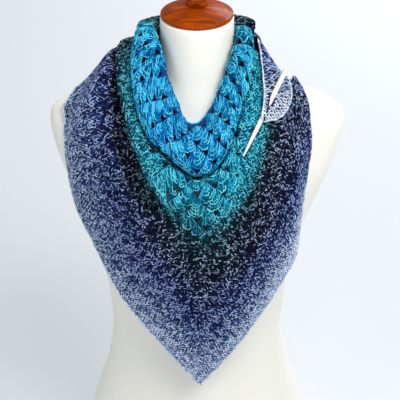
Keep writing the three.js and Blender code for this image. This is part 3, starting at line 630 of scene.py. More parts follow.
@dataclass
class Ground:
    """The ground of the cloth: one thin sheet with the lace gaps and the pinned end.

    Its cells are smaller where |at| is less than `front`. `outer` is the height of its outer face over
    the middle surface, and `merge` the distance at which two cuts of a gap meet. The lining is the
    turned-in layer behind the roll.
    """

    drape: Drape
    lace: Lace
    front_step: float = 1.5
    back_step: float = 2.5
    cell: float = 3.6
    outer: float = 0.2
    thickness: float = 1.6
    front: float = 90
    gap_margin: float = 4
    gap_probe: float = 2
    merge: float = 0.02
    lining_rails: tuple[float, float] = (1.2, 4.0)
    lining_rows: int = 22
    lining_side: float = 84
    lining_step: float = 3.0
    lining_depth: float = -3.6
    lining_thickness: float = 0.8
    # The lining's dark tone is painted shade inside the roll.
    lining_shade_tone: float = 2.4

    def stations(self) -> Array:
        """Gives rail numbers along a section, as close together as the cells' size asks."""
        front = np.abs(self.drape.at) <= self.front
        marks = []
        for number in range(LAST_RAIL):
            ends = [int(round(k / self.drape.rail_step)) for k in (number, number + 1)]
            longest = (self.drape.down[front, ends[1]] - self.drape.down[front, ends[0]]).max()
            count = max(2, math.ceil(longest / self.cell))
            marks.extend(number + step / count for step in range(count))
        return np.array(marks + [float(LAST_RAIL)])

    def columns(self) -> Array:
        """Gives the sections' angles, closer together at the front."""
        left = np.arange(self.drape.first, -self.front, self.back_step)
        front = np.arange(-self.front, self.front, self.front_step)
        right = np.arange(self.front, self.drape.last, self.back_step)
        return np.concatenate([left, front, right, [self.drape.last]])

    def surface(self, at: Array, k: Array, lift: float) -> Array:
        """Finds points over the middle surface.

        Args:
            at: The sections' angles.
            k: The rail numbers.
            lift: The height over the middle surface.

        Returns:
            A point for each angle and rail number.
        """
        drape = self.drape
        i = np.clip((at - drape.first).astype(int), 0, len(drape.at) - 2)
        j = np.clip((k / drape.rail_step).astype(int), 0, len(drape.k) - 2)
        cells = (i[:, None], j[None, :], (at - drape.first - i)[:, None, None],
                 (k / drape.rail_step - j)[None, :, None])
        return in_cells(drape.points, *cells) + unit(in_cells(drape.normals, *cells)) * lift

    def wrap(self, mesh: bmesh.types.BMesh) -> None:
        """Lays a grid over the whole drape, with the yarn's tone at each vertex."""
        at, k = self.columns(), self.stations()
        lay_grid(mesh, self.surface(at, k, self.outer),
                 self.drape.tone(*np.meshgrid(at, k, indexing="ij")))
        bmesh.ops.reverse_faces(mesh, faces=mesh.faces[:])

    def cut_gaps(self, mesh: bmesh.types.BMesh) -> None:
        """Cuts the three-sided gaps of the lace, wide side to the neckline."""
        mesh.faces.ensure_lookup_table()
        faces = mesh.faces[:]
        centres = np.array([face.calc_center_median() for face in faces]) / MM
        gaps = self.lace.places(0)
        points = self.drape.read("points", gaps[:, 0], gaps[:, 1])
        outs = unit(self.drape.read("normals", gaps[:, 0], gaps[:, 1]))
        below = self.drape.read("points", gaps[:, 0], gaps[:, 1] + self.gap_probe)
        doomed = []
        for centre, out, lower in zip(points, outs, below):
            down = unit(lower - centre - out * np.dot(lower - centre, out))
            centre = centre + out * self.outer
            reach = self.lace.wide / 2 + self.gap_margin
            near = np.nonzero(np.linalg.norm(centres - centre, axis=1) < reach)[0]
            geom = [faces[index] for index in near if faces[index].is_valid]
            doomed += self.cut_gap(mesh, geom, self.gap_walls(centre, out, down))
        bmesh.ops.delete(mesh, geom=list(set(doomed)), context="FACES")

    def gap_walls(self, centre: Array, out: Array, down: Array) -> list[tuple[Vector, Vector]]:
        """Finds the three planes round one gap.

        Args:
            centre: The gap's middle, in millimetres.
            out: The outward direction there.
            down: The direction towards the hem.

        Returns:
            A point and an outward direction for each plane.
        """
        wide, high = self.lace.wide / 2, self.lace.high / 2
        side = np.cross(down, out)
        corners = [centre - side * wide - down * high, centre + side * wide - down * high,
                   centre + down * high]
        walls = []
        for a, b in zip(corners, corners[1:] + corners[:1]):
            wall = Vector(unit(np.cross(b - a, out)))
            start = Vector(a) * MM
            if (Vector(centre) * MM - start).dot(wall) > 0:
                wall.negate()
            walls.append((start, wall))
        return walls

    def cut_gap(self, mesh: bmesh.types.BMesh, geom: list[bmesh.types.BMFace],
                walls: list[tuple[Vector, Vector]]) -> list[bmesh.types.BMFace]:
        """Cuts faces along three planes.

        Args:
            mesh: The cloth's bmesh.
            geom: The faces near the gap.
            walls: The planes, each a point and an outward direction.

        Returns:
            The faces inside all three planes.
        """
        for start, wall in walls:
            geom = list({edge for face in geom for edge in face.edges}) + geom
            cut = bmesh.ops.bisect_plane(mesh, geom=geom, dist=self.merge * MM, plane_co=start,
                                         plane_no=wall)
            geom = [item for item in cut["geom"] if isinstance(item, bmesh.types.BMFace)]
        return [face for face in geom
                if all((face.calc_center_median() - start).dot(wall) < 0 for start, wall in walls)]

    def build_lining(self) -> bpy.types.Object:
        """Makes the turned-in layer behind the roll, painted dark as the shade that shows through the
        roll's gaps.

        Returns:
            The lining.
        """
        mesh = bmesh.new()
        at = np.arange(-self.lining_side, self.lining_side + 0.5, self.lining_step)
        k = np.linspace(*self.lining_rails, self.lining_rows)
        # The lining's dark tone is painted shade inside the roll.
        lay_grid(mesh, self.surface(at, k, self.lining_depth),
                 np.full((len(at), len(k)), self.lining_shade_tone))
        bmesh.ops.reverse_faces(mesh, faces=mesh.faces[:])
        lining = new_object("roll_lining", mesh)
        solid_wall(lining, self.lining_thickness)
        return lining

    def build(self, flap: "PinnedEnd") -> bpy.types.Object:
        """Makes the sheet, with the pinned end in the same piece.

        Args:
            flap: The pinned end.

        Returns:
            The sheet of cloth.
        """
        mesh = bmesh.new()
        self.wrap(mesh)
        self.cut_gaps(mesh)
        flap.add_ground(mesh, self.outer)
        sheet = new_object("shawl_cloth", mesh)
        solid_wall(sheet, self.thickness).use_even_offset = False
        return sheet


@dataclass
class ShawlPin:
    """The tapered stick through the end of the shawl. `thick` and `thin` are radii."""

    top: tuple[float, float, float] = (116.5, -50.7, 727.4)
    point: tuple[float, float, float] = (59.5, -119.7, 634.1)
    thick: float = 3.5
    thin: float = 1.1
    sides: int = 20

    def distance(self, points: Array) -> Array:
        """Gives the distance of each point from the stick's axis."""
        top, point = np.array(self.top), np.array(self.point)
        axis = top - point
        t = np.clip(((points - point) @ axis) / (axis @ axis), 0, 1)
        return np.linalg.norm(points - point - t[..., None] * axis, axis=-1)

    def build(self) -> bpy.types.Object:
        """Spins the stick's outline, from its point to its rounded top, about its axis.

        Returns:
            The stick.
        """
        top, point = Vector(self.top), Vector(self.point)
        length = (top - point).length
        outline = [(0, 0), (0.35, 0.15), (0.75, 0.9), (self.thin, 3), (1.8, length * 0.1),
                   (2.5, length * 0.2), (3.0, length * 0.36), (3.3, length * 0.6),
                   (self.thick - 0.1, length - 10), (self.thick, length - 6),
                   (self.thick - 0.15, length - 3), (self.thick * 0.8, length - 1.2),
                   (self.thick * 0.5, length - 0.3), (0, length)]
        mesh = spin_outline(outline, self.sides)
        turn = Vector((0, 0, 1)).rotation_difference((top - point).normalized())
        for vert in mesh.verts:
            vert.co = turn @ vert.co + point * MM
        return new_object("pin_stick", mesh)


def spin_outline(outline: list[tuple[float, float]], sides: int) -> bmesh.types.BMesh:
    """Turns an outline of (radius, height) in millimetres about the vertical axis.

    Args:
        outline: The outline, from one end of the axis to the other.
        sides: The number of steps in the full turn.

    Returns:
        A closed bmesh with its faces outward.
    """
    mesh = bmesh.new()
    verts = [mesh.verts.new((radius * MM, 0, up * MM)) for radius, up in outline]
    edges = [mesh.edges.new(pair) for pair in zip(verts, verts[1:])]
    bmesh.ops.spin(mesh, geom=verts + edges, cent=(0, 0, 0), axis=(0, 0, 1), dvec=(0, 0, 0),
                   angle=2 * math.pi, steps=sides, use_merge=True)
    bmesh.ops.remove_doubles(mesh, verts=mesh.verts[:], dist=0.005 * MM)
    bmesh.ops.recalc_face_normals(mesh, faces=mesh.faces[:])
    return mesh


@dataclass
class NeckCap:
    """The turned wooden cap on the neck, a domed disc with a knob. `knob` is the knob's radius."""

    base: float = 778.3
    radius: float = 48
    rim: float = 6
    dome: float = 14
    knob: float = 13.7
    gap: float = 0.3
    disc_sides: int = 72
    knob_sides: int = 48

    def build_disc(self) -> bpy.types.Object:
        """Turns the domed disc.

        Returns:
            The disc.
        """
        radius, rim, dome, knob = self.radius, self.rim, self.dome, self.knob
        top = rim + dome * 0.7
        outline = [(0, 0), (radius - 3, 0), (radius - 1.5, 0.3), (radius - 0.5, 1.1), (radius, 2.2),
                   (radius, 3.6), (radius - 0.5, 4.8), (radius - 1.6, 5.6), (radius - 3, 6),
                   (radius - 4, 6.4), (radius * 0.84, rim + dome * 0.2),
                   (radius * 0.74, rim + dome * 0.34), (radius * 0.62, rim + dome * 0.48),
                   (knob + 10, rim + dome * 0.6),
                   (knob + 5, rim + dome * 0.66), (knob + 1.5, top), (knob, top), (0, top)]
        mesh = spin_outline([(r, up + self.base) for r, up in outline], self.disc_sides)
        return new_object("cap_disc", mesh)

    def build_knob(self) -> bpy.types.Object:
        """Turns the knob.

        Returns:
            The knob.
        """
        base = self.base + self.gap + self.rim + self.dome * 0.7
        knob = self.knob
        outline = [(0, 0), (knob - 0.6, 0), (knob, 0.8), (knob, 6.5), (knob - 0.8, 9), (knob - 2.6, 12),
                   (knob - 3.8, 15.5), (knob - 4, 19), (knob - 2.6, 23), (knob, 27), (knob + 2.2, 31),
                   (knob + 3, 35), (knob + 2.6, 39.5), (knob + 1, 44), (knob - 1.6, 48),
                   (knob - 5.5, 51.4), (knob - 9, 53.2), (knob - 12, 53.9), (0, 54)]
        mesh = spin_outline([(r, up + base) for r, up in outline], self.knob_sides)
        return new_object("cap_knob", mesh)


@dataclass
class PinnedEnd:
    """The end of the shawl that is pinned on the right shoulder: rows of (inner, outer, swell).

    `lift` is the direction in which it swells, and `tones` gives the yarn's tone at each row.
    """

    pin: ShawlPin
    rows: tuple[tuple[tuple[float, float, float], tuple[float, float, float], float], ...] = (
        ((80.2, 10.7, 742), (104.5, 14.1, 694), 2), ((82, -15, 741), (104, -4, 707), 3),
        ((84, -48, 735), (111, -20, 706), 4.5), ((86, -64, 718), (120, -32, 703), 4),
        ((87, -77, 703), (124, -45, 692), 5), ((86, -86, 691), (122, -61, 683), 4),
        ((84, -92, 682), (114.5, -76, 675), 3), ((86, -94, 671), (105, -85, 670), 2.5))
    lift: tuple[float, float, float] = (0.35, -0.35, 0.87)
    rows_between: int = 7
    across: int = 16
    tones: tuple[float, ...] = (3.4, 3.9, 4.4, 5.0, 5.6, 5.9, 6.0, 6.0)
    ground_darker: float = 1.1
    clearance: float = 0.9

    def __post_init__(self) -> None:
        """Draws the end's surface from the rows of its table."""
        ends = np.array([[*inner, *outer, swell] for inner, outer, swell in self.rows], dtype=float)
        last = len(self.rows) - 1
        steps = np.linspace(0, last, last * self.rows_between + 1)
        smooth = np.concatenate([through_rails(ends[None, :, cut], steps)[0]
                                 for cut in (slice(0, 3), slice(3, 6))], axis=1)
        swell = np.interp(steps, np.arange(last + 1), ends[:, 6])
        self.tone = np.interp(steps, np.arange(last + 1), self.tones)
        part = np.linspace(0, 1, self.across + 1)
        flat = (smooth[:, None, :3] * (1 - part)[None, :, None]
                + smooth[:, None, 3:] * part[None, :, None])
        rise = swell[:, None] * np.sin(np.pi * part)[None]
        self.points = flat + rise[..., None] * np.array(self.lift)
        down, along = np.gradient(self.points, axis=0), np.gradient(self.points, axis=1)
        self.normals = unit(np.cross(down, along))

    def add_ground(self, mesh: bmesh.types.BMesh, outer: float) -> None:
        """Adds the end's sheet to the cloth's bmesh, open where the stick passes.

        Args:
            mesh: The cloth's bmesh.
            outer: The height of the sheet's outer face over the middle surface.
        """
        tones = np.repeat((self.tone - self.ground_darker)[:, None], self.points.shape[1], axis=1)
        verts = lay_grid(mesh, self.points + self.normals * outer, tones)
        faces = list({face for vert in verts for face in vert.link_faces})
        centres = np.array([face.calc_center_median() for face in faces]) / MM
        near = self.pin.distance(centres) < self.pin.thick + self.clearance
        bmesh.ops.delete(mesh, geom=[face for face, hit in zip(faces, near) if hit], context="FACES")
        left = [face for face, hit in zip(faces, near) if not hit]
        if left[0].normal.dot(Vector(self.lift)) < 0:
            bmesh.ops.reverse_faces(mesh, faces=left)


@dataclass(frozen=True)
class Heather:
    """How light the strands are: some light, some middling and the rest dark, by tone."""

    light_shares: tuple[float, ...] = (0.45, 0.42, 0.18, 0.18, 0.26, 0.48, 0.8)
    middling_share: float = 0.28
    spans: tuple[tuple[float, float], ...] = ((0.72, 1.0), (0.4, 0.7), (0.0, 0.35))

    def pick(self, dice: np.random.Generator, tone: Array) -> Array:
        """Picks each strand's lightness.

        Args:
            dice: The seeded source of chance.
            tone: Each strand's tone.

        Returns:
            A lightness of 0 to 1 for each strand.
        """
        share = np.interp(tone, range(PALEST + 1), self.light_shares)
        pick = dice.random(len(tone))
        light, middling, dark = (dice.uniform(low, high, len(tone)) for low, high in self.spans)
        return np.where(pick < share, light,
                        np.where(pick < share + self.middling_share, middling, dark))


@dataclass
class Yarn:
    """Strands of yarn as tubes of a few faces, joined into one mesh."""

    sides: int = 4
    heather: Heather = field(default_factory=Heather)
    pieces: list[str] = field(default_factory=list)

    def tube(self, rings: int) -> tuple[Array, Array, Array]:
        """Extrudes one closed tube and reads which ring and side each vertex is on.

        Args:
            rings: The number of rings along the tube.

        Returns:
            The ring number and the angle of each vertex, and the corners of each face.
        """
        mesh = bmesh.new()
        made = bmesh.ops.create_circle(mesh, segments=self.sides, radius=1, cap_ends=True)
        edges = list({edge for vert in made["verts"] for edge in vert.link_edges})
        for _ in range(rings - 1):
            grown = bmesh.ops.extrude_edge_only(mesh, edges=edges)["geom"]
            verts = [item for item in grown if isinstance(item, bmesh.types.BMVert)]
            edges = [item for item in grown if isinstance(item, bmesh.types.BMEdge)
                     and all(vert in verts for vert in item.verts)]
            bmesh.ops.translate(mesh, verts=verts, vec=(0, 0, 1))
        bmesh.ops.contextual_create(mesh, geom=edges)
        bmesh.ops.recalc_face_normals(mesh, faces=mesh.faces[:])
        mesh.verts.index_update()
        ring = np.array([round(vert.co.z) for vert in mesh.verts])
        angle = np.array([math.atan2(vert.co.y, vert.co.x) for vert in mesh.verts])
        faces = np.array([[vert.index for vert in face.verts] for face in mesh.faces])
        mesh.free()
        return ring, angle, faces

    def lay(self, name: str, paths: Array, outs: Array, radius: Array, tone: Array,
            fleck: Array) -> bpy.types.Object:
        """Bends one tube along each path and joins them all.

        Args:
            name: The piece's name.
            paths: The strands' points in millimetres, the same number for each strand.
            outs: The outward direction at each point.
            radius: The strands' radius at each point.
            tone: Each strand's tone.
            fleck: Each strand's lightness, from 0 to 1.

        Returns:
            The joined piece.
        """
        ring, angle, faces = self.tube(paths.shape[1])
        along = unit(np.gradient(paths, axis=1))
        side = unit(np.cross(along, outs))
        up = np.cross(side, along)
        sideways, upwards = np.cos(angle)[None, :, None], np.sin(angle)[None, :, None]
        places = (paths[:, ring] + radius[:, ring, None]
                  * (sideways * side[:, ring] + upwards * up[:, ring]))
        count, size = places.shape[:2]
        quads = count * len(faces)
        corners = (faces[None] + (np.arange(count) * size)[:, None, None]).reshape(-1)
        data = bpy.data.meshes.new(name)
        data.vertices.add(count * size)
        data.vertices.foreach_set("co", (places * MM).reshape(-1))
        data.loops.add(len(corners))
        data.loops.foreach_set("vertex_index", corners)
        data.polygons.add(quads)
        data.polygons.foreach_set("loop_start", np.arange(quads) * faces.shape[1])
        data.polygons.foreach_set("use_smooth", np.ones(quads, dtype=bool))
        data.update(calc_edges=True)
        data.validate()
        for title, values in (("tone", tone / PALEST), ("fleck", fleck)):
            layer = data.attributes.new(title, "FLOAT", "POINT")
            layer.data.foreach_set("value", np.repeat(values, size).astype(np.float32))
        piece = bpy.data.objects.new(name, data)
        bpy.context.scene.collection.objects.link(piece)
        self.pieces.append(name)
        LOG.info("%s: %d strands, %d triangles", name, count, quads * 2)
        return piece


def hem_tone(at: Array) -> Array:
    """Gives the tone of the hem's edge: pale, but dark where it turns in on the right shoulder."""
    return np.interp(at, (62, 70, 100, 125), (5.9, 3.5, 3.5, 5.6))


@dataclass
class StitchRows:
    """Rows of crossed stitches, each one two legs that lean towards each other.

    `leg` gives a leg's three points as (across, down, height) in parts of the pitch, the row's height
    and the crown. `lean` and the wanders are the sizes of chance, `crowns` and `thicknesses` its
    spans, and `taper` is the part of the radius at a leg's ends.
    """

    yarn: Yarn
    pin: ShawlPin
    pitch: float = 4.55
    height: float = 5.35
    radius: float = 0.8
    taper: float = 0.75
    crown: float = 0.9
    leg: tuple[tuple[float, float, float], ...] = (
        (-0.44, -0.60, 0), (-0.30, 0.04, 1), (0.10, 0.62, 0))
    lean: float = 0.34
    wander_across: float = 0.08
    wander_down: float = 0.06
    crowns: tuple[float, float] = (0.6, 1.25)
    thicknesses: tuple[float, float] = (0.75, 1.12)
    tone_spread: float = 0.14
    clearance: float = 1.6
    seed: int = SEED

    def marks(self, run: Array, stagger: float) -> Array:
        """Gives the stitches' distances along a line, the first one set in by its stagger."""
        return np.arange(self.pitch * (0.25 + 0.5 * stagger), run[-1], self.pitch)

    def legs(self, *stitches: Array) -> dict[str, Array]:
        """Makes the two legs of each stitch, clear of the stick.

        Args:
            *stitches: What `along_line` gives.

        Returns:
            Everything that `Yarn.lay` takes but the name.
        """
        dice = np.random.default_rng(self.seed + len(stitches[0]))
        clear = self.pin.distance(stitches[0]) > self.pin.thick + self.clearance
        centre, along, down, out, tall, tone = (values[clear] for values in stitches)
        count = len(centre)
        shape = np.array(self.leg)[None]
        paths = []
        for mirror in (1, -1):
            lean = dice.normal(0, self.lean, count)[:, None]
            across = shape[..., 0] * mirror + dice.normal(0, self.wander_across, (count, 3))
            drop = shape[..., 1] + dice.normal(0, self.wander_down, (count, 3))
            lift = self.crown * shape[..., 2] * dice.uniform(*self.crowns, (count, 1))
            x = (across + lean * drop) * self.pitch
            y = (drop - lean * across * 0.5) * tall[:, None]
            paths.append(centre[:, None] + x[..., None] * along[:, None]
                         + y[..., None] * down[:, None] + lift[..., None] * out[:, None])
        ends = np.array([self.taper, 1.0, self.taper])
        radius = self.radius * dice.uniform(*self.thicknesses, (2 * count, 1)) * ends
        tone = np.clip(np.tile(tone, 2) + dice.normal(0, self.tone_spread, 2 * count), 0, PALEST)
        return {"paths": np.concatenate(paths), "outs": np.tile(out[:, None], (2, 3, 1)),
                "radius": radius, "tone": tone, "fleck": self.yarn.heather.pick(dice, tone)}

    def along_line(self, points: Array, outs: Array, tone: Array, stagger: float,
                   toward: Array) -> tuple[Array, ...]:
        """Spaces stitches evenly along one line on the cloth.

        Args:
            points: The line's points.
            outs: The outward direction at each.
            tone: The tone at each.
            stagger: The start of the first stitch, in parts of the pitch.
            toward: Points one row nearer the hem.

        Returns:
            Places, directions along, down and out, heights and tones of the stitches.
        """
        run = run_of(points)
        marks = self.marks(run, stagger)
        centre, out = read_line(points, run, marks), unit(read_line(outs, run, marks))
        along = unit(read_line(unit(np.gradient(points, axis=0)), run, marks))
        down = unit(np.cross(along, out))
        step = read_line(toward, run, marks) - centre
        tall = np.abs(np.sum(step * down, axis=1))
        return centre, along, down, out, tall, np.interp(marks, run, tone)


@dataclass
class TwistedEdge:
    """A twisted edge of short strands that overlap. `sway` and `lift` give a strand's three points."""

    length: float = 6.5
    step: float = 0.55
    radius: float = 0.95
    taper: float = 0.8
    sway: tuple[float, float, float] = (-0.8, 0.1, 0.8)
    sway_spread: float = 0.2
    lift: tuple[float, float, float] = (0.1, 0.8, 0.1)
    lift_spread: float = 0.1
    darkest: float = 0.45
    seed: int = SEED

    def strands(self, points: Array, outs: Array, tone: Array) -> dict[str, Array]:
        """Lays the edge along a line.

        Args:
            points: The line's points.
            outs: The outward direction at each.
            tone: The edge's tone at each point.

        Returns:
            Everything that `Yarn.lay` takes but the name.
        """
        dice = np.random.default_rng(self.seed)
        run = run_of(points)
        starts = np.arange(0, run[-1] - self.length, self.length * self.step)
        marks = starts[:, None] + np.linspace(0, self.length, 3)[None]
        centre, out = read_line(points, run, marks), unit(read_line(outs, run, marks))
        side = unit(np.cross(unit(np.gradient(centre, axis=1)), out))
        sway = np.array(self.sway)[None] + dice.normal(0, self.sway_spread, marks.shape)
        lift = np.array(self.lift)[None] + dice.normal(0, self.lift_spread, marks.shape)
        count = len(starts)
        ends = np.array([self.taper, 1.0, self.taper])
        return {"paths": centre + sway[..., None] * side + lift[..., None] * out, "outs": out,
                "radius": np.full((count, 3), self.radius) * ends,
                "tone": np.interp(marks[:, 1], run, tone),
                "fleck": dice.uniform(self.darkest, 1.0, count)}


@dataclass
class DenseCloth:
    """The close rows of stitches outside the lace, parallel to the hem.

    `first_row` is the first row's distance from the hem in rows, and `neckline` the last one's from
    the neckline edge. The rows reach `lap` into the lace. The inner face of the collar has stitches
    down to `inside_depth`, on the other side of the cloth.
    """

    drape: Drape
    lace: Lace
    stitches: StitchRows
    step: float = 0.5
    first_row: float = 0.4
    neckline: float = 1.5
    lap: float = 6
    well_kept: float = 0.6
    hem_lighter: float = 0.5
    inside_depth: float = 75
    inside_step: float = 1.5
    inside_tone: float = 3.7

    def row(self, number: int, low: float, high: float, deep: float) -> tuple[Array, ...] | None:
        """Lays one row at its distance from the hem, between two angles.

        Args:
            number: The row's number from the hem.
            low: The first section's angle.
            high: The last section's angle.
            deep: The furthest from the neckline edge that the row may lie.

        Returns:
            The stitches as `along_line` gives them, or None where the row is not there.
        """
        gap = self.stitches.height
        at = np.arange(low, high + 0.01, self.step)
        down = self.drape.length_at(at) - (number + self.first_row) * gap
        toward = self.drape.read("points", at, down + gap)
        inside = (down > self.neckline) & (down < deep)
        down = np.maximum(down, 0)
        points, outs, rails, across = (
            self.drape.read(name, at, down) for name in ("points", "normals", "rails", "across"))
        tone = self.drape.tone(at, rails)
        if number == 0:
            tone = np.maximum(tone, hem_tone(at) - self.hem_lighter)
        laced = (np.abs(across) + down < self.lace.end - self.lap) & (np.abs(at) < self.lace.side)
        keep = inside & ~laced
        if keep.sum() < 3:
            return None
        values = self.stitches.along_line(points, outs, tone, number % 2, toward)
        run = run_of(points)
        marks = self.stitches.marks(run, number % 2)
        shown = np.interp(marks, run, keep.astype(float)) > self.well_kept
        return tuple(value[shown] for value in values)

    def rows(self, low: float, high: float, deep: float = math.inf) -> list[Array]:
        """Joins all the rows between two angles, as `row` gives them."""
        most = int(self.drape.length.max() / self.stitches.height) + 1
        rows = [self.row(number, low, high, deep) for number in range(most)]
        return joined([row for row in rows if row is not None])

    def build(self, name: str, low: float, high: float) -> bpy.types.Object:
        """Lays the stitches between two angles in one piece."""
        return self.stitches.yarn.lay(name, **self.stitches.legs(*self.rows(low, high)))

    def build_inside(self, name: str, low: float, high: float) -> bpy.types.Object:
        """Lays the stitches of the collar's inner face, where it shows over the neckline.

        Args:
            name: The piece's name.
            low: The first section's angle.
            high: The last section's angle.

        Returns:
            The piece.
        """
        centre, along, down, out, tall, tone = self.rows(low, high, self.inside_depth)
        legs = self.stitches.legs(centre - out * self.inside_step, -along, down, -out, tall,
                                  np.maximum(tone, self.inside_tone))
        return self.stitches.yarn.lay(name, **legs)


@dataclass
class Fans:
    """The fans of the shell lace, each spread towards the hem from a narrow root.

    `root`, `top` and `shoulder` are distances down from the fan's middle. The posts are in two
    strands each, and the arcs lie over them at parts of the fan's height. The spreads are the sizes
    of chance: of a whole strand and of its points in millimetres, and of the tone.
    """

    drape: Drape
    lace: Lace
    yarn: Yarn
    posts: int = 8
    root: float = -13
    root_half: float = 1.6
    top: float = 14
    shoulder: float = 5
    fill: float = 0.97
    outer_post: float = 0.94
    post_spans: tuple[tuple[float, float], ...] = ((0.0, 0.5), (0.48, 0.96))
    post_heights: tuple[float, ...] = (0.1, 0.6, 0.6, 0.1)
    # How much of its lightness a post keeps: painted shade where the posts lie under the arcs.
    post_shade_factor: float = 0.8
    arcs: tuple[float, ...] = (0.26, 0.45, 0.64, 0.83, 1.0)
    arc_step: float = 4.6
    arc_overlap: float = 0.2
    arc_bow: tuple[float, ...] = (-0.04, 0.03, 0.03, -0.04)
    arc_heights: tuple[float, ...] = (0.6, 1.4, 1.4, 0.6)
    radius: float = 0.8
    taper: float = 0.75
    thicknesses: tuple[float, float] = (0.75, 1.1)
    lift: tuple[float, float] = (0.05, 0.75)
    lifts: tuple[float, float] = (0.7, 1.2)
    strand_spread: float = 0.5
    point_spread: float = 0.28
    tone_spread: float = 0.12
    seed: int = SEED

    def place(self, spread: Array, level: Array) -> Array:
        """Gives flat points of a fan for places from side to side and from root to top."""
        reach = self.top - (self.top - self.shoulder) * spread ** 2
        half = self.lace.along / 2 * self.fill
        x = spread * (self.root_half + (half - self.root_half) * level)
        return np.stack([x, self.root + (reach - self.root) * level], axis=-1)

    def outline(self) -> tuple[Array, Array, Array]:
        """Draws one fan flat, as strands of four points.

        Returns:
            The strands as (across, down) in millimetres, the height factor of each point, and how
            much of its lightness each strand keeps.
        """
        strands, heights, share = [], [], []
        for spread in np.linspace(-self.outer_post, self.outer_post, self.posts):
            for low, high in self.post_spans:
                strands.append(self.place(np.full(4, spread), np.linspace(low, high, 4)))
                heights.append(self.post_heights)
                # Posts are darker than arcs: painted shade under the arcs.
                share.append(self.post_shade_factor)
        for level in self.arcs:
            count = max(2, round(self.lace.along * level / self.arc_step))
            edges = np.linspace(-1, 1, count + 1)
            for low, high in zip(edges, edges[1:]):
                over = (high - low) * self.arc_overlap
                strands.append(self.place(np.linspace(max(low - over, -1), min(high + over, 1), 4),
                                          level + np.array(self.arc_bow)))
                heights.append(self.arc_heights)
                share.append(1.0)
        return np.array(strands), np.array(heights), np.array(share)

    def build(self, name: str, low: float, high: float) -> bpy.types.Object:
        """Lays the fans whose middle lies between two rails.

        Args:
            name: The piece's name.
            low: The first rail's number.
            high: The last rail's number.

        Returns:
            The piece.
        """
        dice = np.random.default_rng(self.seed)
        cells = self.lace.places(0.5)
        middle = self.drape.read("rails", cells[:, 0], cells[:, 1])
        cells = cells[(middle >= low) & (middle < high)][:, None, None]
        flat, heights, share = self.outline()
        count, strands = len(cells), len(flat)
        total = count * strands
        wobble = (dice.normal(0, self.strand_spread, (2, count, strands, 1))
                  + dice.normal(0, self.point_spread, (2, count, strands, 4)))
        at = cells[..., 0] + (flat[None, :, :, 0] + wobble[0]) / cells[..., 2]
        down = cells[..., 1] + (flat[None, :, :, 1] + wobble[1])
        outs = unit(self.drape.read("normals", at, down))
        base, rise = self.lift
        lift = base + rise * heights[None] * dice.uniform(*self.lifts, (count, strands, 1))
        paths = self.drape.read("points", at, down) + outs * lift[..., None]
        second = at[:, :, 1], down[:, :, 1]
        tone = self.drape.tone(second[0], self.drape.read("rails", *second)).reshape(-1)
        tone = np.clip(tone + dice.normal(0, self.tone_spread, total), 0, PALEST)
        ends = np.array([self.taper, 1, 1, self.taper])
        radius = self.radius * dice.uniform(*self.thicknesses, (total, 1)) * ends
        fleck = self.yarn.heather.pick(dice, tone) * np.tile(share, count)
        return self.yarn.lay(name, paths.reshape(-1, 4, 3), outs.reshape(-1, 4, 3), radius, tone, fleck)


class Layer(Enum):
    """Which part of the cloth a yarn finish is for."""

    STRAND = "strand"
    # The ground's finish is painted shade: it keeps to the yarn's dark and middle shades.
    SHADED_GROUND = "ground"


